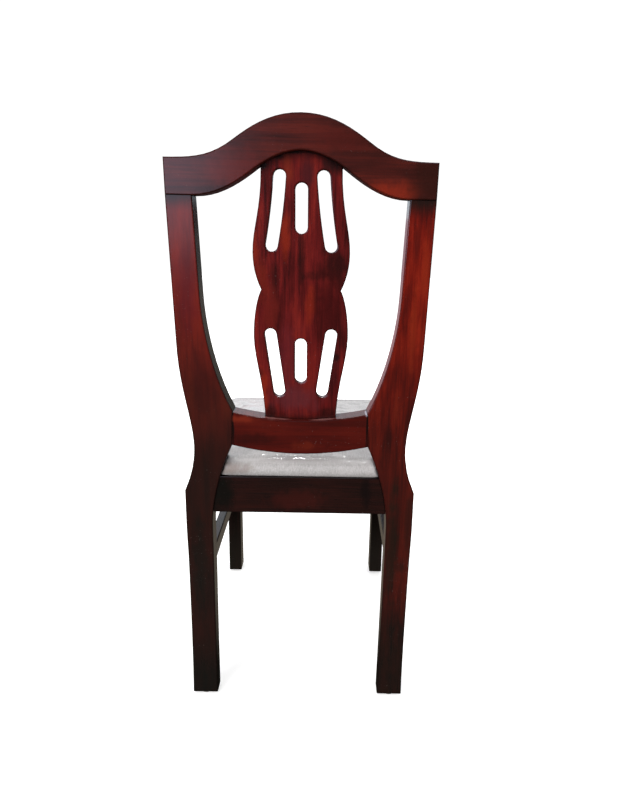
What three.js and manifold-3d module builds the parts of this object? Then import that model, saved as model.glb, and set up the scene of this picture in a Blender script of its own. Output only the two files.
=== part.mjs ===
// Shield back dining chair in stained hardwood with an upholstered seat pad.
//
// Millimetres, +Z up. The chair faces -Y, and left and right are the sitter's own.
// Heights in the sizes below start at the underside of the wooden legs. Depths start
// at the rear face of the back posts at seat height, with +Y to the rear.
// The finished group stands on its glides, with its origin under the middle of the chair.

import * as THREE from 'three';
import { mergeVertices } from 'three/addons/utils/BufferGeometryUtils.js';
import Module from 'manifold-3d';

const wasm = await Module();
wasm.setup();

// Fits
const clearance = 0.3;        // gap left between pieces that touch
const overrun = 3;            // how far a cut or a tenon root runs past its face
const edgeRound = 2;          // eased edges of the show wood
const innerRound = 1;         // eased edges of the rails under the seat

// Heights of the frame, each one stacked on the one before
const legUnderRail = 355;     // floor end of the leg to the underside of the seat rails
const seatRailHeight = 69;
const hipRise = 41.5;         // underside of the seat rail to the corner of the hip
const waistRise = 88;         // hip to the narrowest place of the back
const shoulderRise = 185;     // waist to the place where the post is widest again
const backRailGap = 62;       // seat rail to the underside of the lower back rail
const backRailHeight = 62;
const shieldHeight = 353;     // lower back rail to the joint under the crest rail
const crestEndHeight = 55;    // height of the crest rail over the posts
const crestRise = 66;         // how far its crown stands over its corners
const crownHeight = 52.5;     // height of the crest rail at its crown

// Half widths in the front view
const footHalf = 197.8;
const hipHalf = 206.4;
const waistHalf = 186.5;
const shoulderHalf = 207.2;
const topHalf = 210.9;
const frontHalf = 196.8;      // outside of the front legs

// Back posts
const footWidth = 46.4;
const kneeWidth = 48.2;
const waistWidth = 70.1;
const shoulderWidth = 43;
const topWidth = 41.9;
const footDepth = 30;
const frameDepth = 36;
const kneeHeight = 325;       // where the straight leg starts to sweep in
const footSplay = 36.5;       // how far the foot stands behind the seat
const splayBottom = 230;      // the leg is straight below here
const splayTop = 330;         // and upright above here
const backLean = 30;          // how far the top of the posts leans back
const leanBottom = 400;
const leanTop = 460;          // the back is flat and straight above here

// Seat frame
const railThickness = 22;
const rearRailThickness = 24;
const rearRailSetback = 2;
const sideRailInset = 12;     // side rail inside the hip
const frontRailInset = 1.5;   // rails inside the faces of the front legs
const seatDepth = 402;        // rear face of the posts to the rear face of the front legs
const frontLegWidth = 31;
const frontLegDepth = 42;

// Side stretchers
const stretcherHeight = 31;
const stretcherThickness = 17.6;
const stretcherLevel = 216.5; // underside
const stretcherInset = 7.8;   // outer face inside the outside of the front leg
const stretcherRearInset = 18.4; // and inside the outside of the back leg

// Lower back rail and splat
const backRailFlare = 2.6;    // its underside is this much longer at each end
const backRailTopSag = 15;
const backRailUnderSag = 15.4;
const notchRise = 209;        // ends of the lower back rail to the notch of the splat
const splatThickness = 14.5;
const splatSetback = 13;      // from the rear face of the frame
const splatFootHalf = 61.5;
const splatBellyHalf = 79.2;  // lower lobe
const splatNotchHalf = 65.5;
const splatLobeHalf = 78.7;   // upper lobe
const splatTopHalf = 63.6;
const tongueLength = 8;       // how far the splat goes into the rails

// Slots of the splat: their width, and how far out the ends of the outer ones are
const slotWidth = 20;
const upperSlotTopX = 34.5;
const upperSlotBottomX = 48;
const upperSlotBow = 1.5;
const lowerSlotTopX = 51;
const lowerSlotBottomX = 37;

// Tenons
const tenonThickness = 10;
const tenonLength = 18;
const railTenonHeight = 46;
const backTenonHeight = 36;
const sideTenonLength = 14;
const stretcherTenonHeight = 21;
const stretcherTenonThickness = 9;
const crestTenonWidth = 22;
const crestTenonLength = 28;

// Corner blocks and screws
const blockHeight = 40;
const blockReach = 66;        // along the rails from the inside corner of the seat frame
const blockSetback = 32;      // where the block's outer face meets the rails
const rearBlockReach = 96;
const rearBlockSetback = 58;
const screwRadius = 2;
const screwHeadRadius = 4;
const screwHeadHeight = 2.4;
const blockScrewGrip = 8;     // wood under the head of a block screw
const blockScrewBite = 13;    // how far it runs into the rail
const seatScrewBite = 7;      // how far a seat screw runs into the board

// Glides under the legs
const glideRadius = 10;
const glideFlatRadius = 7.5;
const glideHeight = 5.5;
const glideNailRadius = 1.5;
const glideNailLength = 14;
const rearGlideSetback = 12;  // from the rear face of the foot

// Seat pad
const boardThickness = 10;
const fabricThickness = 1.4;
const hemWidth = 26;
const padOverhang = 2;        // past the rails at the sides
const padFrontOverhang = 6;   // past the front legs
const padRearSetback = 1.5;   // in front of the posts' rear face
const padFrontCorner = 34;
const padRearCorner = 10;
const padEdgeHeight = 28;     // roll of the edge
const padCrown = 12;          // dome over the edge
const padFrontRise = 4;       // the front is stuffed fuller
const padDrawIn = 3.5;        // sides pulled in at the rail
const padSideDip = 1.8;       // sides pulled in between the corners
const padTopInset = 16;       // width of the rolled edge, seen from above

// Worked out from the sizes above
const seatRailTop = legUnderRail + seatRailHeight;
const hipHeight = legUnderRail + hipRise;
const waistHeight = hipHeight + waistRise;
const shoulderHeight = waistHeight + shoulderRise;
const backRailBottom = seatRailTop + backRailGap;
const backRailTop = backRailBottom + backRailHeight;
const crestJoint = backRailTop + shieldHeight;
const crestCorner = crestJoint + crestEndHeight;
const crownTop = crestCorner + crestRise;
const crownUnder = crownTop - crownHeight;
const backRailHalf = waistHalf - waistWidth;
const backRailFootHalf = backRailHalf + backRailFlare;
const leanPivot = (leanBottom + leanTop) / 2;
const leanRate = backLean / (crestCorner - leanPivot);
const splayPivot = (splayBottom + splayTop) / 2;
const frontLegFront = -seatDepth - frontLegDepth;
const sideRailRearHalf = hipHalf - sideRailInset;
const sideRailFrontHalf = frontHalf - frontRailInset;

// Wood, plywood, foam, cloth and small parts
const finish = {
  crest: { color: 0x4a2226, roughness: 0.32, metalness: 0 },
  post: { color: 0x5a1c14, roughness: 0.32, metalness: 0 },
  splat: { color: 0x6a2014, roughness: 0.3, metalness: 0 },
  darkWood: { color: 0x2c1412, roughness: 0.34, metalness: 0 },
  block: { color: 0xa07a52, roughness: 0.7, metalness: 0 },
  plywood: { color: 0xc09a68, roughness: 0.75, metalness: 0 },
  foam: { color: 0xe6dcae, roughness: 0.95, metalness: 0 },
  cloth: { color: 0xb4ada6, roughness: 0.85, metalness: 0 },
  steel: { color: 0x9a9a98, roughness: 0.35, metalness: 1 },
  glide: { color: 0xb9b5ad, roughness: 0.45, metalness: 0 },
};

// Solids and meshes

function signedVolume(geometry) {
  const position = geometry.attributes.position;
  const index = geometry.index.array;
  const a = new THREE.Vector3();
  const b = new THREE.Vector3();
  const c = new THREE.Vector3();
  let sum = 0;
  for (let i = 0; i < index.length; i += 3) {
    a.fromBufferAttribute(position, index[i]);
    b.fromBufferAttribute(position, index[i + 1]);
    c.fromBufferAttribute(position, index[i + 2]);
    sum += a.dot(b.cross(c));
  }
  return sum;
}

// A closed geometry as a solid, turned outward if its faces point in.
function solid(geometry) {
  const bare = geometry.clone();
  bare.deleteAttribute('normal');
  bare.deleteAttribute('uv');
  const merged = mergeVertices(bare);
  const inward = signedVolume(merged) < 0;
  const corners = [];
  for (let i = 0; i < merged.index.count; i += 3) {
    const [a, b, c] = merged.index.array.slice(i, i + 3);
    if (a !== b && b !== c && c !== a) {
      corners.push(a, inward ? c : b, inward ? b : c);
    }
  }
  const triVerts = Uint32Array.from(corners);
  const vertProperties = Float32Array.from(merged.attributes.position.array);
  const mesh = new wasm.Mesh({ numProp: 3, vertProperties, triVerts });
  return new wasm.Manifold(mesh);
}

function join(first, ...others) {
  return others.reduce((sum, piece) => sum.add(piece), first);
}

function cut(first, ...others) {
  return others.reduce((rest, tool) => rest.subtract(tool), first);
}

function pieceMesh(name, shape, look) {
  const { vertProperties, triVerts, numProp } = shape.getMesh();
  const count = vertProperties.length / numProp;
  const position = new Float32Array(count * 3);
  for (let i = 0; i < count; i += 1) {
    for (let k = 0; k < 3; k += 1) {
      position[i * 3 + k] = vertProperties[i * numProp + k];
    }
  }
  const geometry = new THREE.BufferGeometry();
  geometry.setAttribute('position', new THREE.BufferAttribute(position, 3));
  geometry.setIndex(new THREE.BufferAttribute(Uint32Array.from(triVerts), 1));
  geometry.computeVertexNormals();
  const mesh = new THREE.Mesh(geometry, new THREE.MeshStandardMaterial(look));
  mesh.name = name;
  return mesh;
}

function box(low, high) {
  const size = new THREE.Vector3().subVectors(high, low);
  const middle = new THREE.Vector3().addVectors(high, low).divideScalar(2);
  const geometry = new THREE.BoxGeometry(size.x, size.y, size.z);
  return geometry.translate(middle.x, middle.y, middle.z);
}

function v3(x, y, z) {
  return new THREE.Vector3(x, y, z);
}

// A box tenon and the mortise that takes it.
function tenonPair(low, high, place = new THREE.Matrix4()) {
  const gap = v3(clearance, clearance, clearance);
  const mortise = box(low.clone().sub(gap), high.clone().add(gap));
  return {
    tenon: solid(box(low, high).applyMatrix4(place)),
    mortise: solid(mortise.applyMatrix4(place)),
  };
}

// A board sawn to an outline, with its edges eased on both faces.
function sawn(shape, thickness, round, curveSegments) {
  const geometry = new THREE.ExtrudeGeometry(shape, {
    depth: thickness - 2 * round,
    bevelEnabled: round > 0,
    bevelThickness: round,
    bevelSize: round,
    bevelOffset: -round,
    bevelSegments: 2,
    curveSegments,
  });
  return geometry.translate(0, 0, round);
}

// The outline is the front view (x, height), and the board runs forward from rearY.
function frontBoard(shape, rearY, thickness, round, curveSegments) {
  const geometry = sawn(shape, thickness, round, curveSegments);
  return geometry.rotateX(Math.PI / 2).translate(0, rearY, 0);
}

// The outline is the plan (x, y), and the board runs up from bottomZ.
function planBoard(shape, bottomZ, thickness, round, curveSegments) {
  return sawn(shape, thickness, round, curveSegments).translate(0, 0, bottomZ);
}

function shapeOf(points) {
  return new THREE.Shape(points.map(([x, y]) => new THREE.Vector2(x, y)));
}

// Turns the flat back frame to the lean of the posts.
const leanBack = new THREE.Matrix4().set(
  1, 0, 0, 0,
  0, 1, leanRate, -leanRate * leanPivot,
  0, 0, 1, 0,
  0, 0, 0, 1,
);

// Reads a drawn edge that always climbs: how far out it is at a height.
function edgeReader(path) {
  const divisions = 40;
  const points = path.getPoints(divisions);
  return (height) => {
    const above = points.findIndex((point) => point.y >= height);
    const i = above < 1 ? (above === 0 ? 1 : points.length - 1) : above;
    const low = points[i - 1];
    const high = points[i];
    const span = high.y - low.y;
    const share = span > 0 ? (height - low.y) / span : 0;
    return mix(low.x, high.x, share);
  };
}

function mix(from, to, share) {
  return from + (to - from) * share;
}

// Edges of a back post in the front view

function drawPostOuter() {
  const flareShares = [0.2, 0.8];
  const hipShare = 0.49;
  const sweepShares = [0.26, 0.56];
  const flare = flareShares.map((share) => hipHeight * share);
  const path = new THREE.Path();
  path.moveTo(footHalf, 0);
  path.quadraticCurveTo(footHalf, flare[0], hipHalf, flare[1]);
  path.lineTo(hipHalf, hipHeight);
  path.quadraticCurveTo(waistHalf, mix(hipHeight, waistHeight, hipShare), waistHalf, waistHeight);
  path.bezierCurveTo(
    waistHalf, mix(waistHeight, shoulderHeight, sweepShares[0]),
    shoulderHalf, mix(waistHeight, shoulderHeight, sweepShares[1]),
    shoulderHalf, shoulderHeight,
  );
  path.lineTo(topHalf, crestJoint);
  return path;
}

const postOuter = edgeReader(drawPostOuter());
const kneeInner = postOuter(kneeHeight) - kneeWidth;
const shoulderInner = shoulderHalf - shoulderWidth;

function drawPostInner() {
  const kneeShare = 0.78;
  const hipSweepShares = [0.25, 0.58];
  const hipReachShare = 0.78;
  const shieldSweepShares = [0.124, 0.336, 0.561];
  const shieldReachShares = [0.465, 0.94];
  const path = new THREE.Path();
  path.moveTo(footHalf - footWidth, 0);
  path.quadraticCurveTo(kneeInner, kneeHeight * kneeShare, kneeInner, kneeHeight);
  const hipSweep = hipSweepShares.map((share) => mix(kneeHeight, backRailBottom, share));
  const shieldSweep = shieldSweepShares.map((share) => mix(backRailTop, crestJoint, share));
  const shieldReach = shieldReachShares.map((share) => mix(backRailHalf, shoulderInner, share));
  path.bezierCurveTo(
    kneeInner, hipSweep[0],
    mix(backRailFootHalf, kneeInner, hipReachShare), hipSweep[1],
    backRailFootHalf, backRailBottom,
  );
  path.lineTo(backRailHalf, backRailTop);
  path.bezierCurveTo(
    shieldReach[0], shieldSweep[0],
    shieldReach[1], shieldSweep[1],
    shoulderInner, shieldSweep[2],
  );
  path.lineTo(topHalf - topWidth, crestJoint);
  return path;
}

const postInner = edgeReader(drawPostInner());

// Rear face of a back post in the side view: splayed foot, upright seat, leaning back.
function drawPostRear() {
  const path = new THREE.Path();
  path.moveTo(footSplay, 0);
  path.lineTo(footSplay * (1 - splayBottom / splayPivot), splayBottom);
  path.quadraticCurveTo(0, splayPivot, 0, splayTop);
  path.lineTo(0, leanBottom);
  path.quadraticCurveTo(0, leanPivot, leanRate * (leanTop - leanPivot), leanTop);
  path.lineTo(leanRate * (crestJoint - leanPivot), crestJoint);
  return path;
}

const postRear = edgeReader(drawPostRear());

function postDepth(height) {
  return mix(footDepth, frameDepth, Math.min(height / splayTop, 1));
}

function postFront(height) {
  return postRear(height) - postDepth(height);
}

// Heights of the rings of a loft: every named height, with even steps between.
function ringHeights(named, step) {
  const order = named.toSorted((a, b) => a - b);
  const heights = [order[0]];
  for (let i = 1; i < order.length; i += 1) {
    const steps = Math.ceil((order[i] - order[i - 1]) / step);
    for (let k = 1; k <= steps; k += 1) {
      heights.push(mix(order[i - 1], order[i], k / steps));
    }
  }
  return heights;
}

// One level section of a squared post with its four corners eased.
function squareRing(x0, x1, y0, y1, z, round) {
  const cornerSteps = 2;
  const middles = [
    [x1 - round, y1 - round, 0],
    [x0 + round, y1 - round, Math.PI / 2],
    [x0 + round, y0 + round, Math.PI],
    [x1 - round, y0 + round, Math.PI * 1.5],
  ];
  const ring = [];
  for (const [x, y, start] of middles) {
    for (let k = 0; k <= cornerSteps; k += 1) {
      const angle = start + (Math.PI / 2) * (k / cornerSteps);
      ring.push(v3(x + Math.cos(angle) * round, y + Math.sin(angle) * round, z));
    }
  }
  return ring;
}

// Skins a stack of rings, closed at each end by a fan from the ring's middle.
function loft(rings) {
  const size = rings[0].length;
  const points = rings.flat();
  const ends = [rings[0], rings[rings.length - 1]];
  for (const ring of ends) {
    const middle = v3(0, 0, 0);
    ring.forEach((point) => middle.add(point));
    points.push(middle.divideScalar(size));
  }
  const index = [];
  for (let level = 0; level < rings.length - 1; level += 1) {
    for (let k = 0; k < size; k += 1) {
      const a = level * size + k;
      const b = level * size + ((k + 1) % size);
      index.push(a, b, b + size, a, b + size, a + size);
    }
  }
  const lastRing = (rings.length - 1) * size;
  const lowMiddle = rings.length * size;
  for (let k = 0; k < size; k += 1) {
    const next = (k + 1) % size;
    index.push(lowMiddle, next, k);
    index.push(lowMiddle + 1, lastRing + k, lastRing + next);
  }
  const geometry = new THREE.BufferGeometry();
  const position = points.flatMap((point) => point.toArray());
  geometry.setAttribute('position', new THREE.Float32BufferAttribute(position, 3));
  geometry.setIndex(index);
  return geometry;
}

// The blank of a back post. A grown one cuts what fits round it.
function postBlank(side, grow = 0) {
  const ringStep = 21;
  const top = crestJoint - clearance + grow;
  const named = [
    0, kneeHeight, splayBottom, splayTop, hipHeight, leanBottom, leanTop,
    waistHeight, backRailBottom, backRailTop, shoulderHeight, top,
  ];
  const rings = ringHeights(named, ringStep).map((z) => {
    const inner = (postInner(z) - grow) * side;
    const outer = (postOuter(z) + grow) * side;
    const low = Math.min(inner, outer);
    const high = Math.max(inner, outer);
    return squareRing(low, high, postFront(z) - grow, postRear(z) + grow, z, edgeRound);
  });
  return solid(loft(rings));
}

function frontLegBlank(side, grow = 0) {
  const outer = frontHalf * side;
  const inner = (frontHalf - frontLegWidth) * side;
  const low = Math.min(inner, outer) - grow;
  const high = Math.max(inner, outer) + grow;
  const heights = [0, seatRailTop];
  const rings = heights.map((z) => (
    squareRing(low, high, frontLegFront - grow, -seatDepth + grow, z, edgeRound)
  ));
  return solid(loft(rings));
}

const sides = { left: 1, right: -1 };

// Two corners of a box on one side of the chair.
function sidedBox(side, x0, x1, y0, y1, z0, z1) {
  const low = v3(Math.min(x0 * side, x1 * side), Math.min(y0, y1), z0);
  const high = v3(Math.max(x0 * side, x1 * side), Math.max(y0, y1), z1);
  return [low, high];
}

// Curves drawn as chains of cubic sweeps

// Carries a shape on through a chain of points: every third one is passed through.
function sweepThrough(shape, points) {
  for (let i = 0; i + 2 < points.length; i += 3) {
    const [a, b, end] = points.slice(i, i + 3);
    shape.bezierCurveTo(a[0], a[1], b[0], b[1], end[0], end[1]);
  }
}

function mirrored(points) {
  return points.map(([x, z]) => [-x, z]).reverse();
}

// Crest rail

const crestTopShares = [
  [1, 0], [0.784, 0.005], [0.66, 0.02], [0.489, 0.417], [0.35, 0.733], [0.205, 1], [0, 1],
];
const crestUnderShares = [
  [1, 0], [0.776, 0], [0.582, 0.306], [0.418, 0.61], [0.314, 0.795], [0.153, 1], [0, 1],
];
const crestTopHalf = crestTopShares.map(([x, z]) => [x * topHalf, crestCorner + z * crestRise]);
const crestUnderHalf = crestUnderShares.map(([x, z]) => (
  [x * (topHalf - topWidth), mix(crestJoint, crownUnder, z)]
));

function crestShape() {
  const shape = new THREE.Shape();
  shape.moveTo(topHalf, crestCorner);
  sweepThrough(shape, crestTopHalf.slice(1));
  sweepThrough(shape, mirrored(crestTopHalf).slice(1));
  shape.lineTo(-topHalf, crestJoint);
  shape.lineTo(-(topHalf - topWidth), crestJoint);
  sweepThrough(shape, crestUnderHalf.map(([x, z]) => [-x, z]).slice(1));
  sweepThrough(shape, crestUnderHalf.toReversed().slice(1));
  shape.lineTo(topHalf, crestJoint);
  shape.lineTo(topHalf, crestCorner);
  return shape;
}

// The arch under the crest rail, read across the chair.
function drawCrestArch() {
  const path = new THREE.Path();
  const climbing = crestUnderHalf.toReversed().map(([x, z]) => [z, x]);
  path.moveTo(climbing[0][0], climbing[0][1]);
  sweepThrough(path, climbing.slice(1));
  return path;
}

const crestUnder = edgeReader(drawCrestArch());

function crestTenon(side) {
  const middle = topHalf - topWidth / 2;
  const [low, high] = sidedBox(
    side,
    middle - crestTenonWidth / 2, middle + crestTenonWidth / 2,
    -(frameDepth - tenonThickness) / 2, -(frameDepth + tenonThickness) / 2,
    crestJoint - overrun, crestJoint + crestTenonLength,
  );
  return tenonPair(low, high, leanBack);
}

function makeCrest() {
  const curveSteps = 9;
  const blank = frontBoard(crestShape(), 0, frameDepth, edgeRound, curveSteps);
  const mortises = Object.values(sides).map((side) => crestTenon(side).mortise);
  const groove = frontBoardGrown(splatShape(), -splatSetback, splatThickness);
  return cut(solid(blank.applyMatrix4(leanBack)), ...mortises, groove);
}

// Splat

const splatBottom = backRailTop - backRailTopSag - tongueLength;
const notchHeight = backRailTop + notchRise;
const splatShoulder = crestUnder(splatTopHalf);

function splatHalfOutline() {
  const lobeShares = [0.275, 0.492, 0.657, 0.818, 0.948];
  const upperShares = [0.058, 0.165, 0.31, 0.51, 0.655];
  const notchEaseShares = [0.5, 0.43];
  const low = lobeShares.map((share) => mix(splatBottom, notchHeight, share));
  const high = upperShares.map((share) => mix(notchHeight, splatShoulder, share));
  return [
    [splatFootHalf, splatBottom],
    [splatFootHalf, low[0]],
    [splatBellyHalf, low[1]],
    [splatBellyHalf, low[2]],
    [splatBellyHalf, low[3]],
    [mix(splatNotchHalf, splatBellyHalf, notchEaseShares[0]), low[4]],
    [splatNotchHalf, notchHeight],
    [mix(splatNotchHalf, splatLobeHalf, notchEaseShares[1]), high[0]],
    [splatLobeHalf, high[1]],
    [splatLobeHalf, high[2]],
    [splatLobeHalf, high[3]],
    [splatTopHalf, high[4]],
    [splatTopHalf, splatShoulder],
  ];
}

// Where each slot starts and ends: up the lower lobe from the lower back rail to the notch,
// and up the upper lobe from the notch to the crown of the arch.
const lowerSlotShares = [0.179, 0.712];
const lowerEyeShares = [0.29, 0.638];
const upperSlotShares = [0.287, 0.878];
const upperEyeShares = [0.422, 0.789];

function lowerLobe(share) {
  return mix(backRailTop - backRailTopSag, notchHeight, share);
}

function upperLobe(share) {
  return mix(notchHeight, crownUnder, share);
}

// A slot along a curved middle line, with round ends.
function slotHole(middle) {
  const lengthSteps = 6;
  const endSteps = 8;
  const radius = slotWidth / 2;
  const points = [];
  const along = (share, turn) => {
    const point = middle.getPoint(share);
    const heading = middle.getTangent(share).angle() + turn;
    points.push([point.x + Math.cos(heading) * radius, point.y + Math.sin(heading) * radius]);
  };
  for (let k = 0; k < lengthSteps; k += 1) {
    along(k / lengthSteps, Math.PI / 2);
  }
  for (let k = 0; k < endSteps; k += 1) {
    along(1, Math.PI / 2 - Math.PI * (k / endSteps));
  }
  for (let k = 0; k < lengthSteps; k += 1) {
    along(1 - k / lengthSteps, -Math.PI / 2);
  }
  for (let k = 0; k < endSteps; k += 1) {
    along(0, -Math.PI / 2 - Math.PI * (k / endSteps));
  }
  return new THREE.Path(points.map(([x, y]) => new THREE.Vector2(x, y)));
}

function slotLine([bottomX, topX], [bottomZ, topZ], bow = 0) {
  const radius = slotWidth / 2;
  const top = new THREE.Vector2(topX, topZ - radius);
  const bottom = new THREE.Vector2(bottomX, bottomZ + radius);
  const bend = top.clone().add(bottom).divideScalar(2);
  bend.x -= 2 * bow;
  return new THREE.QuadraticBezierCurve(bottom, bend, top);
}

function splatShape() {
  const archSteps = 14;
  const half = splatHalfOutline();
  const shape = new THREE.Shape();
  shape.moveTo(half[0][0], half[0][1]);
  sweepThrough(shape, half.slice(1));
  for (let k = 0; k <= archSteps; k += 1) {
    const x = mix(splatTopHalf, -splatTopHalf, k / archSteps);
    shape.lineTo(x, crestUnder(Math.abs(x)) + tongueLength);
  }
  shape.lineTo(-splatTopHalf, splatShoulder);
  sweepThrough(shape, mirrored(half).slice(1));
  shape.lineTo(splatFootHalf, splatBottom);
  for (const side of Object.values(sides)) {
    const upperX = [upperSlotBottomX * side, upperSlotTopX * side];
    const lowerX = [lowerSlotBottomX * side, lowerSlotTopX * side];
    const upper = slotLine(upperX, upperSlotShares.map(upperLobe), upperSlotBow * side);
    const lower = slotLine(lowerX, lowerSlotShares.map(lowerLobe));
    shape.holes.push(slotHole(upper), slotHole(lower));
  }
  const upperEye = slotLine([0, 0], upperEyeShares.map(upperLobe));
  const lowerEye = slotLine([0, 0], lowerEyeShares.map(lowerLobe));
  shape.holes.push(slotHole(upperEye), slotHole(lowerEye));
  return shape;
}

// The same board with the fitting gap all round, in the leaning back frame.
function frontBoardGrown(shape, rearY, thickness) {
  const curveSteps = 8;
  const geometry = new THREE.ExtrudeGeometry(shape, {
    depth: thickness,
    bevelEnabled: true,
    bevelThickness: clearance,
    bevelSize: 0,
    bevelOffset: clearance,
    bevelSegments: 1,
    curveSegments: curveSteps,
  });
  geometry.rotateX(Math.PI / 2).translate(0, rearY, 0);
  return solid(geometry.applyMatrix4(leanBack));
}

function makeSplat() {
  const curveSteps = 8;
  const board = frontBoard(splatShape(), -splatSetback, splatThickness, edgeRound, curveSteps);
  return solid(board.applyMatrix4(leanBack));
}

// Lower back rail

function backRailTenon(side) {
  const middle = (backRailBottom + backRailTop) / 2;
  const [low, high] = sidedBox(
    side,
    backRailHalf - overrun, backRailHalf + tenonLength,
    -(frameDepth - tenonThickness) / 2, -(frameDepth + tenonThickness) / 2,
    middle - backTenonHeight / 2, middle + backTenonHeight / 2,
  );
  return tenonPair(low, high, leanBack);
}

function makeBackRail() {
  const curveSteps = 18;
  const half = backRailFootHalf + overrun;
  const shape = new THREE.Shape();
  shape.moveTo(-half, backRailTop);
  shape.quadraticCurveTo(0, backRailTop - 2 * backRailTopSag, half, backRailTop);
  shape.lineTo(half, backRailBottom);
  shape.quadraticCurveTo(0, backRailBottom - 2 * backRailUnderSag, -half, backRailBottom);
  shape.lineTo(-half, backRailTop);
  const blank = frontBoard(shape, 0, frameDepth, edgeRound, curveSteps).applyMatrix4(leanBack);
  const groove = frontBoardGrown(splatShape(), -splatSetback, splatThickness);
  const posts = Object.values(sides).map((side) => postBlank(side, clearance));
  const tenons = Object.values(sides).map((side) => backRailTenon(side).tenon);
  return join(cut(solid(blank), ...posts, groove), ...tenons);
}

// Seat rails

const railMiddle = (legUnderRail + seatRailTop) / 2;
const railTenonLow = railMiddle - railTenonHeight / 2;
const railTenonHigh = railMiddle + railTenonHeight / 2;
const frontRailRear = frontLegFront + frontRailInset + railThickness;
const rearRailFront = -rearRailSetback - rearRailThickness;

function rectangle(x0, x1, y0, y1) {
  return shapeOf([[x0, y0], [x1, y0], [x1, y1], [x0, y1]]);
}

function rearRailTenon(side) {
  const middle = -rearRailSetback - rearRailThickness / 2;
  const [low, high] = sidedBox(
    side,
    postInner(seatRailTop) - overrun, postInner(legUnderRail) + tenonLength,
    middle - tenonThickness / 2, middle + tenonThickness / 2,
    railTenonLow, railTenonHigh,
  );
  return tenonPair(low, high);
}

function rearRailBlank(grow = 0) {
  const half = kneeInner + overrun;
  const shape = rectangle(-half, half, legUnderRail, seatRailTop);
  return frontBoard(
    shape, -rearRailSetback + grow, rearRailThickness + 2 * grow, innerRound, 1,
  );
}

function makeRearRail() {
  const posts = Object.values(sides).map((side) => postBlank(side, clearance));
  const tenons = Object.values(sides).map((side) => rearRailTenon(side).tenon);
  return join(cut(solid(rearRailBlank()), ...posts), ...tenons);
}

function frontRailTenon(side) {
  const middle = frontRailRear - railThickness / 2;
  const face = frontHalf - frontLegWidth;
  const [low, high] = sidedBox(
    side,
    face - overrun, face + tenonLength,
    middle - tenonThickness / 2, middle + tenonThickness / 2,
    railTenonLow, railTenonHigh,
  );
  return tenonPair(low, high);
}

function frontRailBlank(grow = 0) {
  const half = frontHalf - frontLegWidth + overrun;
  const shape = rectangle(-half, half, legUnderRail, seatRailTop);
  return frontBoard(shape, frontRailRear + grow, railThickness + 2 * grow, innerRound, 1);
}

function makeFrontRail() {
  const legs = Object.values(sides).map((side) => frontLegBlank(side, clearance));
  const tenons = Object.values(sides).map((side) => frontRailTenon(side).tenon);
  return join(cut(solid(frontRailBlank()), ...legs), ...tenons);
}

// A straight bar from a back post to a front leg, in plan.
function sideBar(side, rearOuter, frontOuter, rearY, thickness, grow = 0) {
  const front = -seatDepth - overrun;
  return shapeOf([
    [(rearOuter + grow) * side, rearY],
    [(frontOuter + grow) * side, front],
    [(frontOuter - thickness - grow) * side, front],
    [(rearOuter - thickness - grow) * side, rearY],
  ]);
}

// Tenons at both ends of such a bar.
function sideBarTenons(side, bar) {
  const rearMiddle = bar.rearOuter - bar.thickness / 2;
  const frontMiddle = bar.frontOuter - bar.thickness / 2;
  const half = bar.tenonThickness / 2;
  const rear = sidedBox(
    side, rearMiddle - half, rearMiddle + half,
    bar.rearFace - overrun, bar.rearFace + sideTenonLength, bar.low, bar.high,
  );
  const front = sidedBox(
    side, frontMiddle - half, frontMiddle + half,
    -seatDepth + overrun, -seatDepth - sideTenonLength, bar.low, bar.high,
  );
  return { rear: tenonPair(...rear), front: tenonPair(...front) };
}

const sideRailBar = {
  rearOuter: sideRailRearHalf,
  frontOuter: sideRailFrontHalf,
  thickness: railThickness,
  tenonThickness,
  rearFace: -frameDepth,
  low: railTenonLow,
  high: railTenonHigh,
};

function sideRailBlank(side, grow = 0) {
  const rearY = -frameDepth + overrun;
  const shape = sideBar(side, sideRailRearHalf, sideRailFrontHalf, rearY, railThickness, grow);
  return planBoard(shape, legUnderRail, seatRailHeight, innerRound, 1);
}

function fitBetween(side, blank, bar) {
  const { rear, front } = sideBarTenons(side, bar);
  const fitted = cut(solid(blank), postBlank(side, clearance), frontLegBlank(side, clearance));
  return join(fitted, rear.tenon, front.tenon);
}

function makeSideRail(side) {
  return fitBetween(side, sideRailBlank(side), sideRailBar);
}

// Side stretchers

const stretcherMiddle = stretcherLevel + stretcherHeight / 2;
const stretcherRearHalf = postOuter(stretcherMiddle) - stretcherRearInset;
const stretcherFrontHalf = frontHalf - stretcherInset;

const stretcherBar = {
  rearOuter: stretcherRearHalf,
  frontOuter: stretcherFrontHalf,
  thickness: stretcherThickness,
  tenonThickness: stretcherTenonThickness,
  rearFace: postFront(stretcherMiddle),
  low: stretcherMiddle - stretcherTenonHeight / 2,
  high: stretcherMiddle + stretcherTenonHeight / 2,
};

function makeStretcher(side) {
  const rearY = stretcherBar.rearFace + 2 * overrun;
  const shape = sideBar(side, stretcherRearHalf, stretcherFrontHalf, rearY, stretcherThickness);
  const blank = planBoard(shape, stretcherLevel, stretcherHeight, edgeRound, 1);
  return fitBetween(side, blank, stretcherBar);
}

// Turned small parts

function turned(profile) {
  const turnSteps = 14;
  const points = profile.map(([radius, height]) => new THREE.Vector2(radius, height));
  return new THREE.LatheGeometry(points, turnSteps).rotateX(Math.PI / 2);
}

// A pan-head screw that points down, with its head resting on the level z = 0.
function screwProfile(length) {
  const crownShare = 0.6;
  return [
    [0, -length],
    [screwRadius, -length + 2 * screwRadius],
    [screwRadius, 0],
    [screwHeadRadius, 0],
    [screwHeadRadius, screwHeadHeight * crownShare],
    [screwHeadRadius * crownShare, screwHeadHeight],
    [0, screwHeadHeight],
  ];
}

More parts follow.
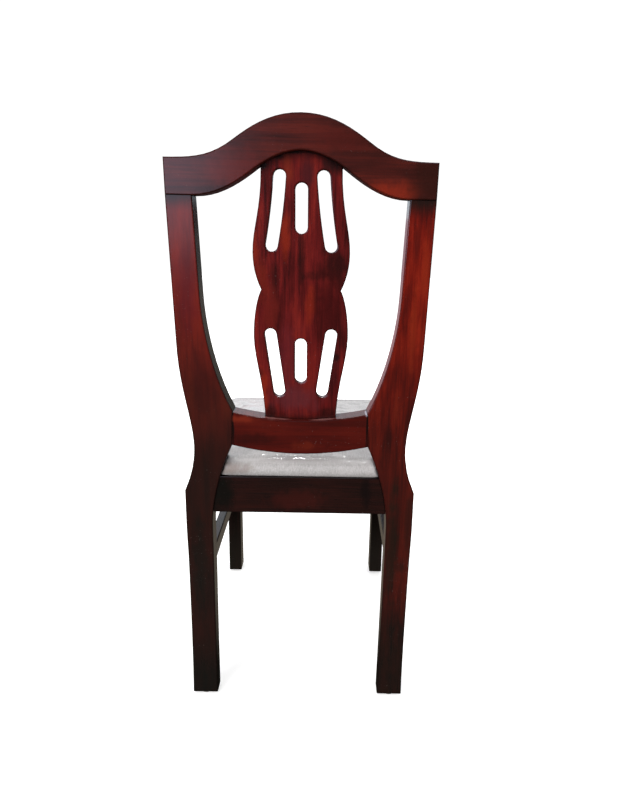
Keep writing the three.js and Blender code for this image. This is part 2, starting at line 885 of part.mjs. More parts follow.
function screwBoreProfile(length, headBore) {
  return [
    [0, -length - clearance],
    [screwRadius + clearance, -length - clearance],
    [screwRadius + clearance, -clearance],
    [screwHeadRadius + clearance, -clearance],
    [screwHeadRadius + clearance, headBore],
    [0, headBore],
  ];
}

// Turns a screw to point along a direction and moves its head to a place.
function aim(geometry, direction, place) {
  const turn = new THREE.Quaternion().setFromUnitVectors(v3(0, 0, -1), direction);
  return geometry.applyQuaternion(turn).translate(place.x, place.y, place.z);
}

function screwPair(length, headBore, direction, place) {
  return {
    screw: solid(aim(turned(screwProfile(length)), direction, place)),
    bore: solid(aim(turned(screwBoreProfile(length, headBore)), direction, place)),
  };
}

// Corner blocks: one place for each, from the inside corner of the seat frame

const blockBottom = seatRailTop - blockHeight;
const blockMiddle = seatRailTop - blockHeight / 2;

const blockPlaces = {
  front: {
    corner: [sideRailFrontHalf - railThickness, frontRailRear],
    inward: 1,
    reach: blockReach,
    setback: blockSetback,
  },
  rear: {
    corner: [sideRailRearHalf - railThickness, rearRailFront],
    inward: -1,
    reach: rearBlockReach,
    setback: rearBlockSetback,
  },
};

function blockScrews(end, side) {
  const { corner, inward, reach, setback } = blockPlaces[end];
  const middle = (reach + setback) / 2;
  const length = blockScrewGrip + blockScrewBite;
  const toRail = v3(
    (corner[0] - blockScrewGrip) * side, corner[1] + middle * inward, blockMiddle,
  );
  const toCrossRail = v3(
    (corner[0] - middle) * side, corner[1] + blockScrewGrip * inward, blockMiddle,
  );
  return [
    screwPair(length, reach, v3(side, 0, 0), toRail),
    screwPair(length, reach, v3(0, -inward, 0), toCrossRail),
  ];
}

// Seat pad

const padBase = seatRailTop + clearance;
const boardBottom = padBase + fabricThickness + clearance;
const boardTop = boardBottom + boardThickness;
const padRear = -padRearSetback;
const padFront = frontLegFront - padFrontOverhang;
const padRearHalf = sideRailRearHalf + padOverhang;
const padFrontHalf = sideRailFrontHalf + padOverhang;

// Goes round the plan of the pad, drawn in by an inset.
function padOutline(inset) {
  const sideSteps = 7;
  const cornerSteps = 4;
  const leastRadiusShare = 0.25;
  const corners = [
    [padFrontHalf, padFront, padFrontCorner, -Math.PI / 2, 1],
    [padRearHalf, padRear, padRearCorner, 0, -1],
    [-padRearHalf, padRear, padRearCorner, Math.PI / 2, -1],
    [-padFrontHalf, padFront, padFrontCorner, Math.PI, 1],
  ];
  const arcs = corners.map(([x, y, radius, start, inward]) => {
    const middleX = x - Math.sign(x) * radius;
    const middleY = y + inward * radius;
    const reach = Math.max(radius - inset, radius * leastRadiusShare);
    const shift = radius - inset - reach;
    const points = [];
    for (let k = 0; k <= cornerSteps; k += 1) {
      const angle = start + (Math.PI / 2) * (k / cornerSteps);
      points.push([
        middleX + Math.cos(angle) * reach + Math.sign(x) * shift,
        middleY + Math.sin(angle) * reach - inward * shift,
      ]);
    }
    return points;
  });
  const outline = [];
  arcs.forEach((arc, i) => {
    const next = arcs[(i + 1) % arcs.length][0];
    const last = arc[arc.length - 1];
    outline.push(...arc);
    const length = Math.hypot(next[0] - last[0], next[1] - last[1]);
    const across = [(last[1] - next[1]) / length, (next[0] - last[0]) / length];
    for (let k = 1; k < sideSteps; k += 1) {
      const share = k / sideSteps;
      const dip = padSideDip * Math.sin(Math.PI * share);
      outline.push([
        mix(last[0], next[0], share) + across[0] * dip,
        mix(last[1], next[1], share) + across[1] * dip,
      ]);
    }
  });
  return outline;
}

// The stuffed form: drawn in at the rail, a rolled edge, and a crown fuller at the front.
function padForm(shrink) {
  const edgeShares = [
    [0, 1, 0], [0.2, 0.28, 0], [0.42, 0, 0], [0.62, 0, 0.09],
    [0.8, 0, 0.3], [0.93, 0, 0.62], [1, 0, 1],
  ];
  const crownShares = [0.84, 0.64, 0.4, 0.18];
  const depth = padRear - padFront;
  const middleY = (padRear + padFront) / 2;
  const base = padBase + shrink;
  const height = padEdgeHeight - 2 * shrink;
  const lift = (y, share) => padFrontRise * share * ((padRear - y) / depth);
  const rings = edgeShares.map(([up, drawn, rolled]) => {
    const inset = padDrawIn * drawn + padTopInset * rolled + shrink;
    return padOutline(inset).map(([x, y]) => v3(x, y, base + height * up + lift(y, up)));
  });
  const edge = rings[rings.length - 1];
  const halfWidth = Math.max(padRearHalf, padFrontHalf) - padTopInset;
  const halfDepth = depth / 2 - padTopInset;
  const dome = (x, y) => {
    const across = 1 - Math.min((x / halfWidth) ** 2, 1);
    const along = 1 - Math.min(((y - middleY) / halfDepth) ** 2, 1);
    return padCrown * across * along;
  };
  for (const share of crownShares) {
    rings.push(edge.map((point) => {
      const x = point.x * share;
      const y = mix(middleY, point.y, share);
      return v3(x, y, base + height + dome(x, y) + lift(y, 1));
    }));
  }
  return solid(loft(rings));
}

// What a back post takes out of the pad's rear corner.
function padNotch(side, grow) {
  const middle = (postInner(seatRailTop) + postOuter(seatRailTop)) / 2;
  const padTop = padBase + padEdgeHeight + padFrontRise + padCrown;
  const [low, high] = sidedBox(
    side, middle, padRearHalf + overrun, frameDepth, -frameDepth - grow, 0, padTop + overrun,
  );
  return join(postBlank(side, grow), solid(box(low, high)));
}

function notched(shape, grow) {
  return cut(shape, ...Object.values(sides).map((side) => padNotch(side, grow)));
}

function flatPad(inset, bottom, top) {
  return solid(planBoard(shapeOf(padOutline(inset)), bottom, top - bottom, 0, 1));
}

const liningGap = fabricThickness + clearance;

function makeCover() {
  const outside = notched(padForm(0), clearance);
  const inside = notched(padForm(fabricThickness), clearance + fabricThickness);
  const hemHole = flatPad(padDrawIn + hemWidth, padBase - overrun, padBase + liningGap);
  return cut(outside, inside, notched(hemHole, liningGap + hemWidth / 2));
}

function makeFoam() {
  const form = notched(padForm(liningGap), clearance + liningGap);
  const under = flatPad(-overrun, padBase - overrun, boardTop + clearance);
  return cut(form, under);
}

function makeBoard(bores) {
  const plate = flatPad(padDrawIn + liningGap, boardBottom, boardTop);
  return cut(notched(plate, clearance + liningGap), ...bores);
}

function seatScrew(end, side) {
  const { corner, inward, reach, setback } = blockPlaces[end];
  const faceMiddle = (reach + setback) / 2;
  const blockCentre = faceMiddle / 2;
  const length = boardBottom + seatScrewBite - blockBottom;
  const place = v3(
    (corner[0] - blockCentre) * side, corner[1] + blockCentre * inward, blockBottom,
  );
  return screwPair(length, blockHeight, v3(0, 0, 1), place);
}

function makeBlock(end, side, bores) {
  const { corner, inward, reach, setback } = blockPlaces[end];
  const [x, y] = corner;
  const shape = shapeOf([
    [(x + overrun) * side, y + reach * inward],
    [(x + overrun) * side, y + (setback - overrun) * inward],
    [(x - setback + overrun) * side, y - overrun * inward],
    [(x - reach) * side, y - overrun * inward],
  ]);
  const blank = planBoard(shape, blockBottom, blockHeight, 0, 1);
  const crossRail = end === 'front' ? frontRailBlank(clearance) : rearRailBlank(clearance);
  const leg = end === 'front' ? frontLegBlank(side, clearance) : postBlank(side, clearance);
  const around = [solid(sideRailBlank(side, clearance)), solid(crossRail), leg];
  return cut(solid(blank), ...around, ...bores);
}

// Glides

function glideProfile() {
  const bulgeShares = [0.42, 0.8];
  return [
    [0, -glideHeight],
    [glideFlatRadius, -glideHeight],
    [glideRadius, -glideHeight * (1 - bulgeShares[0])],
    [glideRadius, -glideHeight * (1 - bulgeShares[1])],
    [glideFlatRadius, -clearance],
    [glideNailRadius, -clearance],
    [glideNailRadius, glideNailLength - glideNailRadius],
    [0, glideNailLength],
  ];
}

const glidePlaces = {
  rear: v3(footHalf - footWidth / 2, footSplay - rearGlideSetback, 0),
  front: v3(frontHalf - frontLegWidth / 2, -seatDepth - frontLegDepth / 2, 0),
};

function glideGeometry(end, side, profile) {
  const place = glidePlaces[end];
  return solid(turned(profile).translate(place.x * side, place.y, 0));
}

function glideBore(end, side) {
  return glideGeometry(end, side, [
    [0, -overrun],
    [glideNailRadius + clearance, -overrun],
    [glideNailRadius + clearance, glideNailLength + clearance],
    [0, glideNailLength + clearance],
  ]);
}

// Posts and legs with their mortises

function makePost(side) {
  const cuts = [
    backRailTenon(side).mortise,
    rearRailTenon(side).mortise,
    sideBarTenons(side, sideRailBar).rear.mortise,
    sideBarTenons(side, stretcherBar).rear.mortise,
    glideBore('rear', side),
  ];
  return join(cut(postBlank(side), ...cuts), crestTenon(side).tenon);
}

function makeFrontLeg(side) {
  const cuts = [
    frontRailTenon(side).mortise,
    sideBarTenons(side, sideRailBar).front.mortise,
    sideBarTenons(side, stretcherBar).front.mortise,
    glideBore('front', side),
  ];
  return cut(frontLegBlank(side), ...cuts);
}

// The whole chair

const pieces = [];

function add(name, shape, look) {
  pieces.push(pieceMesh(name, shape, look));
}

const ends = ['front', 'rear'];
const rails = {
  front: makeFrontRail(),
  rear: makeRearRail(),
  left: makeSideRail(sides.left),
  right: makeSideRail(sides.right),
};
const boardBores = [];

add('crest_rail', makeCrest(), finish.crest);
add('back_splat', makeSplat(), finish.splat);
add('lower_back_rail', makeBackRail(), finish.post);

for (const [sideName, side] of Object.entries(sides)) {
  add(`rear_post_${sideName}`, makePost(side), finish.post);
  add(`front_leg_${sideName}`, makeFrontLeg(side), finish.darkWood);
  add(`side_stretcher_${sideName}`, makeStretcher(side), finish.darkWood);
  for (const end of ends) {
    const [toRail, toCrossRail] = blockScrews(end, side);
    const upright = seatScrew(end, side);
    const bores = [toRail.bore, toCrossRail.bore, upright.bore];
    rails[sideName] = cut(rails[sideName], toRail.bore);
    rails[end] = cut(rails[end], toCrossRail.bore);
    boardBores.push(upright.bore);
    const corner = `${end}_${sideName}`;
    add(`corner_block_${corner}`, makeBlock(end, side, bores), finish.block);
    add(`block_side_screw_${corner}`, toRail.screw, finish.steel);
    add(`block_cross_screw_${corner}`, toCrossRail.screw, finish.steel);
    add(`seat_screw_${corner}`, upright.screw, finish.steel);
    add(`foot_glide_${corner}`, glideGeometry(end, side, glideProfile()), finish.glide);
  }
}

add('side_seat_rail_left', rails.left, finish.darkWood);
add('side_seat_rail_right', rails.right, finish.darkWood);
add('front_seat_rail', rails.front, finish.darkWood);
add('rear_seat_rail', rails.rear, finish.darkWood);
add('seat_board', makeBoard(boardBores), finish.plywood);
add('seat_foam', makeFoam(), finish.foam);
add('seat_cover', makeCover(), finish.cloth);

const chair = new THREE.Group();
chair.add(...pieces);
const reach = new THREE.Box3().setFromObject(chair);
chair.position.set(0, -(reach.min.y + reach.max.y) / 2, glideHeight);

export default chair;
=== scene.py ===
# %% [markdown]
# A dining chair with a shield back, seen from behind, in dark red stain under a clear lacquer.
# The chair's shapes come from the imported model, so this script doesn't model the wood again.
# It loads the pieces, gives each one its finish, makes the soft seat, and sets up floor, light
# and camera. Lengths are in metres, +Z is up, and the chair faces -Y.

# %% Load the chair's pieces
import math

import bmesh
import bpy
from mathutils import Matrix, Vector
from mathutils.bvhtree import BVHTree


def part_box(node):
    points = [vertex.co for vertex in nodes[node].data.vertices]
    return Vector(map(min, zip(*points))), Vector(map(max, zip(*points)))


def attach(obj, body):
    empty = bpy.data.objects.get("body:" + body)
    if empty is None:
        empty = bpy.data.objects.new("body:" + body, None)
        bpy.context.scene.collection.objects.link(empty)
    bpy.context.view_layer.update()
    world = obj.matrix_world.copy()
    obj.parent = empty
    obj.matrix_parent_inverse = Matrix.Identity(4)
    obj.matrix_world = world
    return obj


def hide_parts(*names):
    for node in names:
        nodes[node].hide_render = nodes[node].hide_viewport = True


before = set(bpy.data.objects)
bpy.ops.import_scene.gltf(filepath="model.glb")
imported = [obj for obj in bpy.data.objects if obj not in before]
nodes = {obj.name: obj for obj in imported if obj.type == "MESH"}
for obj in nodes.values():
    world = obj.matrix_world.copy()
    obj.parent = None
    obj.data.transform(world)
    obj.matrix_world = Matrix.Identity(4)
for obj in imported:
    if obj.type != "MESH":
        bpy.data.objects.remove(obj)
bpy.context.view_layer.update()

# %% [markdown]
# Three helpers do what comes back often: one links a new object into the scene, one makes an
# object of a work mesh, and one gathers pieces in a work mesh.

# %% Helpers for objects and meshes


def new_object(name, data):
    """A new object in the scene, with that data."""
    linked = bpy.data.objects.new(name, data)
    bpy.context.collection.objects.link(linked)
    return linked


def mesh_object(name, work):
    """A new object made of a work mesh, which is freed."""
    mesh = bpy.data.meshes.new(name)
    work.to_mesh(mesh)
    work.free()
    return new_object(name, mesh)


def work_mesh(*names):
    """A work mesh that holds the named pieces."""
    work = bmesh.new()
    for name in names:
        work.from_mesh(nodes[name].data)
    return work


# %% [markdown]
# The photograph was taken by hand from close behind the chair, with the camera a little lower
# than the crest rail and tilted down, so the legs narrow towards the floor. A camera needs the
# same place, the same angles and the same width of view. The width of view is given here by the
# focal length in the picture's own pixels, and turned into a lens for Blender's sensor.

# %% The photograph's camera
PICTURE_WIDTH = 622
PICTURE_HEIGHT = 800
FOCAL_PIXELS = 612
VIEW_CENTRE = (332.4, 396.3)
SENSOR_WIDTH = 36

CAMERA_PLACE = Vector((-0.042, 1.2278, 0.8535))
CAMERA_YAW = math.radians(0.74)
CAMERA_PITCH = math.radians(14.88)
CAMERA_ROLL = math.radians(1.22)


def camera_turn(yaw, pitch, roll):
    """The turn of a camera behind the chair that looks along -Y, down by pitch."""
    right = Vector((-math.cos(yaw), math.sin(yaw), 0))
    level = Vector((-math.sin(yaw), -math.cos(yaw), 0))
    forward = level * math.cos(pitch) - Vector((0, 0, math.sin(pitch)))
    up = right.cross(forward)
    turned_right = right * math.cos(roll) + up * math.sin(roll)
    turned_up = up * math.cos(roll) - right * math.sin(roll)
    return Matrix((turned_right, turned_up, -forward)).transposed().to_4x4()


camera_data = bpy.data.cameras.new("photo_camera")
camera_data.sensor_width = SENSOR_WIDTH
camera_data.lens = FOCAL_PIXELS / PICTURE_HEIGHT * SENSOR_WIDTH
camera_data.shift_x = (PICTURE_WIDTH / 2 - VIEW_CENTRE[0]) / PICTURE_HEIGHT
camera_data.shift_y = (VIEW_CENTRE[1] - PICTURE_HEIGHT / 2) / PICTURE_HEIGHT
camera = new_object("photo_camera", camera_data)
bpy.context.scene.camera = camera
camera.matrix_world = Matrix.Translation(CAMERA_PLACE) @ camera_turn(
    CAMERA_YAW, CAMERA_PITCH, CAMERA_ROLL
)
print("lens:", round(camera_data.lens, 2), "mm")

# %% [markdown]
# Every finish below is a tree of shader nodes. Short helpers keep that readable: one adds a node
# and fills its inputs by name, two do arithmetic on values and on vectors, one mixes colours, one
# stretches a range of values, and two make a noise and a bump. A wire is passed as an output
# socket, and anything else is a plain value.

# %% Helpers for shader nodes


def fill(tree, node, inputs):
    """Wires output sockets to a node's inputs, and sets the other inputs to plain values."""
    for key, value in inputs.items():
        if isinstance(value, bpy.types.NodeSocket):
            tree.links.new(value, node.inputs[key])
        else:
            node.inputs[key].default_value = value


def add_node(tree, kind, inputs=None, **settings):
    """Adds a node, sets its properties and fills its inputs."""
    node = tree.nodes.new(kind)
    for key, value in settings.items():
        setattr(node, key, value)
    fill(tree, node, inputs or {})
    return node


def calc(tree, operation, first, second=0.0):
    """A Math node on one or two values."""
    return add_node(tree, "ShaderNodeMath", {0: first, 1: second}, operation=operation).outputs[0]


def vector_calc(tree, operation, first, second=(0, 0, 0)):
    """A Vector Math node. A length and a dot product are values, the rest are vectors."""
    node = add_node(tree, "ShaderNodeVectorMath", {0: first, 1: second}, operation=operation)
    return node.outputs["Value" if operation in ("LENGTH", "DOT_PRODUCT") else "Vector"]


def blend(tree, share, first, second):
    """A colour mix. The Mix node's sockets share names, so their identifiers tell them apart."""
    node = add_node(tree, "ShaderNodeMix", data_type="RGBA")
    place = {socket.identifier: number for number, socket in enumerate(node.inputs)}
    values = {"Factor_Float": share, "A_Color": first, "B_Color": second}
    fill(tree, node, {place[name]: value for name, value in values.items()})
    return next(socket for socket in node.outputs if socket.identifier == "Result_Color")


def rescale(tree, value, low, high, new_low=0.0, new_high=1.0, smooth=False):
    """Maps low..high to new_low..new_high, held at both ends."""
    node = add_node(
        tree,
        "ShaderNodeMapRange",
        {0: value, 1: low, 2: high, 3: new_low, 4: new_high},
        interpolation_type="SMOOTHSTEP" if smooth else "LINEAR",
    )
    return node.outputs[0]


def plain_noise(tree, vector, scale, detail=2.0, warp=0.0):
    """A noise between 0 and 1, the same in every direction."""
    inputs = {"Vector": vector, "Scale": scale, "Detail": detail, "Distortion": warp}
    return add_node(tree, "ShaderNodeTexNoise", inputs).outputs[0]


def bumped(tree, height, strength, distance):
    """A surface normal that is bent by a height."""
    inputs = {"Height": height, "Strength": strength, "Distance": distance}
    return add_node(tree, "ShaderNodeBump", inputs).outputs[0]


def new_group(name, inputs, outputs):
    """An empty node group with named sockets: (name, type, default) each."""
    group = bpy.data.node_groups.new(name, "ShaderNodeTree")
    for label, kind, default in inputs:
        socket = group.interface.new_socket(label, in_out="INPUT", socket_type=kind)
        if default is not None:
            socket.default_value = default
    for label, kind in outputs:
        group.interface.new_socket(label, in_out="OUTPUT", socket_type=kind)
    start = group.nodes.new("NodeGroupInput")
    end = group.nodes.new("NodeGroupOutput")
    return group, start.outputs, end.inputs


def use_group(tree, group, inputs):
    """Places a node group in a material and gives back its outputs."""
    return add_node(tree, "ShaderNodeGroup", inputs, node_tree=group).outputs


FLOAT, COLOUR, VECTOR = "NodeSocketFloat", "NodeSocketColor", "NodeSocketVector"

# %% [markdown]
# Wood is drawn with noise that is stretched along the board. One helper makes such a noise, and
# the other centres its values about zero, so that several of them can be added up.

# %% Helpers for stretched noise


def stretched_noise(tree, vector, seed, stretch, width, detail, warp=0.0):
    """Noise drawn out along Z, with features of about that width across."""
    drawn = vector_calc(tree, "MULTIPLY", vector, stretch)
    scale = calc(tree, "DIVIDE", 1.0, width)
    inputs = {"Vector": drawn, "W": seed, "Scale": scale, "Detail": detail, "Distortion": warp}
    return add_node(tree, "ShaderNodeTexNoise", inputs, noise_dimensions="4D").outputs[0]


def centred(tree, value, share):
    """A noise value about zero, times its share of the figure."""
    return calc(tree, "MULTIPLY", calc(tree, "SUBTRACT", value, 0.5), share)


# %% [markdown]
# Sawn mahogany shows four things at once: ribbons of lighter and darker wood, fine streaks along
# the fibres, cloudy patches, and short open pores that catch the stain. All are noise that is
# stretched along the board. The ribbons are sharpened, because in a red stain they turn into
# stripes with a clear edge. The group expects the grain to run along Z, so a material turns its
# coordinates first, and it gives back a colour, a height for the bump and a roughness. The
# figure runs from dark at 0 over middle at 0.5 to bright at 1.

# %% Sawn grain, shared by every wood
BAND_STRETCH = (1, 1, 0.06)
BAND_DETAIL = 1.5
BAND_WARP = 0.3
BAND_SHARE = 0.34
STREAK_SHARE = 0.95
PATCH_SHARE = 1.3
# Stretch along the board, width across it, detail, and for smudges a warp.
STREAKS = ((1, 1, 0.035), 0.0028, 3.0)
PORES = ((1, 1, 0.05), 0.0009, 1.0)
PATCHES = ((1, 1, 0.45), 0.045, 3.0)
SMUDGES = ((1, 1, 0.6), 0.022, 4.0, 0.6)
RIBBON_EDGES = (0.34, 0.66)
SMUDGE_EDGES = (0.56, 0.74)
PORE_EDGES = (0.62, 0.72)
STREAK_EDGES = (0.3, 0.7)
STREAK_HEIGHT = 0.5
GRAIN_ROUGHNESS = (0.38, 0.55)

sawn_grain, given, made = new_group(
    "sawn grain",
    [
        ("Vector", VECTOR, None),
        ("Dark", COLOUR, (0.01, 0.004, 0.003, 1)),
        ("Middle", COLOUR, (0.08, 0.01, 0.006, 1)),
        ("Bright", COLOUR, (0.2, 0.03, 0.012, 1)),
        ("Band Width", FLOAT, 0.014),
        ("Contrast", FLOAT, 1.0),
        ("Pore Depth", FLOAT, 0.5),
        ("Smudge Depth", FLOAT, 0.6),
        ("Seed", FLOAT, 0.0),
    ],
    [("Color", COLOUR), ("Height", FLOAT), ("Roughness", FLOAT)],
)

where, seed = given["Vector"], given["Seed"]
bands = stretched_noise(
    sawn_grain, where, seed, BAND_STRETCH, given["Band Width"], BAND_DETAIL, BAND_WARP
)
ribbons = rescale(sawn_grain, bands, *RIBBON_EDGES, smooth=True)
streaks = stretched_noise(sawn_grain, where, seed, *STREAKS)
pores = stretched_noise(sawn_grain, where, seed, *PORES)
patches = stretched_noise(sawn_grain, where, seed, *PATCHES)
smudges = stretched_noise(sawn_grain, where, seed, *SMUDGES)
figure = calc(
    sawn_grain,
    "ADD",
    centred(sawn_grain, ribbons, BAND_SHARE),
    centred(sawn_grain, streaks, STREAK_SHARE),
)
figure = calc(sawn_grain, "ADD", figure, centred(sawn_grain, patches, PATCH_SHARE))
figure = calc(sawn_grain, "MULTIPLY", figure, given["Contrast"])
figure = calc(sawn_grain, "ADD", figure, 0.5)
low_part = rescale(sawn_grain, figure, 0.0, 0.5)
high_part = rescale(sawn_grain, figure, 0.5, 1.0)
colour = blend(sawn_grain, low_part, given["Dark"], given["Middle"])
colour = blend(sawn_grain, high_part, colour, given["Bright"])
smudged = rescale(sawn_grain, smudges, *SMUDGE_EDGES, smooth=True)
smudged = calc(sawn_grain, "MULTIPLY", smudged, given["Smudge Depth"])
colour = blend(sawn_grain, smudged, colour, given["Dark"])
open_pore = rescale(sawn_grain, pores, *PORE_EDGES)
stained = calc(sawn_grain, "MULTIPLY", open_pore, given["Pore Depth"])
colour = blend(sawn_grain, stained, colour, given["Dark"])
raised = calc(sawn_grain, "MULTIPLY", streaks, STREAK_HEIGHT)
height = calc(sawn_grain, "SUBTRACT", raised, open_pore)
roughness = rescale(sawn_grain, streaks, *STREAK_EDGES, *GRAIN_ROUGHNESS)
sawn_grain.links.new(colour, made["Color"])
sawn_grain.links.new(height, made["Height"])
sawn_grain.links.new(roughness, made["Roughness"])
print("group:", sawn_grain.name, len(sawn_grain.nodes), "nodes")

# %% [markdown]
# Stain and lacquer gather where a board turns over an edge, and leave a darker line there. The
# corners between two boards are darkened too, and that darkening is painted shade. The Bevel node
# finds the edges on any mesh: near an edge its softened normal leans away from the true one. The
# Ambient Occlusion node finds the corners, because little of the room is seen from there. The
# larger of the two is the mask.

# %% Gathered stain and painted corner shade, shared by the lacquered woods
EDGE_AGREEMENT = (0.998, 0.93)
EDGE_DEPTH = 0.95
CORNER_OPENNESS = (0.92, 0.45)

stain_and_corner_shade, given, made = new_group(
    "edge stain and painted corner shade",
    [("Edge Width", FLOAT, 0.002), ("Corner Reach", FLOAT, 0.012)],
    [("Mask", FLOAT)],
)
softened = add_node(stain_and_corner_shade, "ShaderNodeBevel", {"Radius": given["Edge Width"]}, samples=4)
true_face = add_node(stain_and_corner_shade, "ShaderNodeNewGeometry").outputs["True Normal"]
agreement = vector_calc(stain_and_corner_shade, "DOT_PRODUCT", softened.outputs[0], true_face)
edge_mask = rescale(stain_and_corner_shade, agreement, *EDGE_AGREEMENT, 0.0, EDGE_DEPTH)
openness = add_node(
    stain_and_corner_shade, "ShaderNodeAmbientOcclusion", {"Distance": given["Corner Reach"]}, samples=8
)
painted_corner_shade = rescale(stain_and_corner_shade, openness.outputs["AO"], *CORNER_OPENNESS)
larger = calc(stain_and_corner_shade, "MAXIMUM", edge_mask, painted_corner_shade)
stain_and_corner_shade.links.new(larger, made["Mask"])
print("group:", stain_and_corner_shade.name, len(stain_and_corner_shade.nodes), "nodes")

# %% [markdown]
# Fine dust lies in the lacquer and shows as a few pale specks. Noise over a high threshold
# gives specks, and a wider noise keeps them to a few places.

# %% Dust specks, shared by the lacquered woods
SPECK_WIDTH = 0.0016
DUSTY_PLACE_WIDTH = 0.06
SPECK_EDGES = (0.8, 0.86)
DUSTY_PLACE_EDGES = (0.54, 0.66)

dust_specks, given, made = new_group("dust specks", [("Vector", VECTOR, None)], [("Mask", FLOAT)])
specks = plain_noise(dust_specks, given["Vector"], 1 / SPECK_WIDTH, detail=0.0)
dusty = plain_noise(dust_specks, given["Vector"], 1 / DUSTY_PLACE_WIDTH, detail=1.0)
dust_mask = calc(
    dust_specks,
    "MULTIPLY",
    rescale(dust_specks, specks, *SPECK_EDGES),
    rescale(dust_specks, dusty, *DUSTY_PLACE_EDGES),
)
dust_specks.links.new(dust_mask, made["Mask"])
print("group:", dust_specks.name, len(dust_specks.nodes), "nodes")

# %% [markdown]
# The colour is darker low on the legs and lighter higher up. A ramp over the height of a point
# does this, with a slow noise so that it doesn't end in a level line. Turned the other way up,
# the same ramp paints shade on the posts just under the crest.

# %% Darker towards the floor
WANDER_SCALE = 9.0

height_ramp, given, made = new_group(
    "darker by height",
    [("Vector", VECTOR, None), ("Low", FLOAT, 0.1), ("High", FLOAT, 0.6), ("Wander", FLOAT, 0.12)],
    [("Mask", FLOAT)],
)
place = add_node(height_ramp, "ShaderNodeSeparateXYZ", {0: given["Vector"]})
wander = plain_noise(height_ramp, given["Vector"], WANDER_SCALE)
raised = centred(height_ramp, wander, given["Wander"])
level = calc(height_ramp, "ADD", place.outputs["Z"], raised)
low_mask = rescale(height_ramp, level, given["Low"], given["High"], 1.0, 0.0, smooth=True)
height_ramp.links.new(low_mask, made["Mask"])
print("group:", height_ramp.name, len(height_ramp.nodes), "nodes")

# %% [markdown]
# No board takes stain evenly. Each one has places that came out redder, paler or nearly black.
# A cloud is a soft spot with a centre, a reach along each axis and a wandering rim, and a
# material lays a few of them over its grain.
# A few clouds are painted light instead of stain: a shadow under the crest's arch on the splat, a
# highlight on the back rail, and shade on the seat.

# %% Stain clouds and painted light, shared by the lacquered woods and the seat
RIM_STRETCH = (1, 1, 0.6)
RIM_SCALE = 70.0
CLOUD_EDGES = (0.3, 1.2)

stain_and_painted_light_cloud, given, made = new_group(
    "stain and painted light cloud",
    [
        ("Vector", VECTOR, None),
        ("Centre", VECTOR, (0, 0, 0)),
        ("Reach", VECTOR, (0.05, 0.05, 0.05)),
        ("Ragged", FLOAT, 1.4),
    ],
    [("Mask", FLOAT)],
)
rim_place = vector_calc(stain_and_painted_light_cloud, "MULTIPLY", given["Vector"], RIM_STRETCH)
rim_noise = plain_noise(stain_and_painted_light_cloud, rim_place, RIM_SCALE, detail=4.0)
offset = vector_calc(stain_and_painted_light_cloud, "SUBTRACT", given["Vector"], given["Centre"])
in_reaches = vector_calc(stain_and_painted_light_cloud, "DIVIDE", offset, given["Reach"])
away = vector_calc(stain_and_painted_light_cloud, "LENGTH", in_reaches)
away = calc(stain_and_painted_light_cloud, "ADD", away, centred(stain_and_painted_light_cloud, rim_noise, given["Ragged"]))
cloud_mask = rescale(stain_and_painted_light_cloud, away, *CLOUD_EDGES, 1.0, 0.0, smooth=True)
stain_and_painted_light_cloud.links.new(cloud_mask, made["Mask"])
print("group:", stain_and_painted_light_cloud.name, len(stain_and_painted_light_cloud.nodes), "nodes")

# %% [markdown]
# A lacquered wood is a Principled shader: the grain drives the base, and a clear coat on top
# gives the gloss. The turn brings the board's length onto Z, because the grain group draws its
# fibres along Z. Clouds of stain and a few of painted light, darkening by height, edge stain
# with painted shade in the corners, and dust are laid over the grain in that order, and painted
# shade may darken a board's faces toward one side. Faces that look down got less lacquer and
# less polish, so the coat is thin there and the surface is dull.

# %% Lacquered wood
GRAIN_TURNS = {
    "up": (0, 0, 0),
    "across": (0, math.pi / 2, 0),
    "deep": (math.pi / 2, 0, 0),
}
EDGE_WIDTH = 0.0026
EDGE_STAIN_AND_SHADE = (0.006, 0.003, 0.0025)
EDGE_STAIN_AND_SHADE_DEPTH = 0.85
RAMP_DARK = (0.0045, 0.0075, 0.0062)
DUST = (0.4, 0.36, 0.34)
DUST_DEPTH = 0.25
SHADED_SIDE_FACING = (0.6, 0.85)
UNDERSIDE_FACING = (-0.55, -0.75)
UNDERSIDE_ROUGHNESS = 0.9
UNDERSIDE_COAT = 0.05
COAT = 0.85
COAT_IOR = 1.5
SPECULAR_LEVEL = 0.04
FIBRE_STRENGTH = 0.2
FIBRE_HEIGHT = 0.0003


def start_material(name):
    """A new material with its Principled shader and the object's coordinates."""
    material = bpy.data.materials.new(name)
    material.use_nodes = True
    tree = material.node_tree
    shader = tree.nodes["Principled BSDF"]
    where = tree.nodes.new("ShaderNodeTexCoord").outputs["Object"]
    return material, tree, shader, where


def draw_grain(tree, where, grain, colours, figure):
    """Turns the board's length onto Z and draws the grain. figure holds the group's settings."""
    turned = add_node(tree, "ShaderNodeMapping", {"Vector": where, "Rotation": GRAIN_TURNS[grain]})
    tones = {label: (*tone, 1) for label, tone in zip(("Dark", "Middle", "Bright"), colours)}
    return use_group(tree, sawn_grain, {"Vector": turned.outputs[0], **tones, **figure})


def cover(tree, colour, mask, depth, tint):
    """Lays a tint over a colour, to that depth where the mask is full."""
    return blend(tree, calc(tree, "MULTIPLY", mask, depth), colour, (*tint, 1))


def lay_height_ramps(tree, where, colour, ramps):
    """Darkens a colour by height. A ramp is (low, high, wander, depth), full below low."""
    for low, high, wander, depth in ramps:
        deeper = use_group(
            tree, height_ramp, {"Vector": where, "Low": low, "High": high, "Wander": wander}
        )
        colour = cover(tree, colour, deeper["Mask"], depth, RAMP_DARK)
    return colour


def lay_clouds(tree, where, colour, clouds):
    """Lays clouds of stain, painted shade or a painted highlight over a colour. A cloud is
    (centre, reach, colour, depth).
    """
    for centre, reach, tint, depth in clouds:
        cloud = use_group(tree, stain_and_painted_light_cloud, {"Vector": where, "Centre": centre, "Reach": reach})
        colour = cover(tree, colour, cloud["Mask"], depth, tint)
    return colour


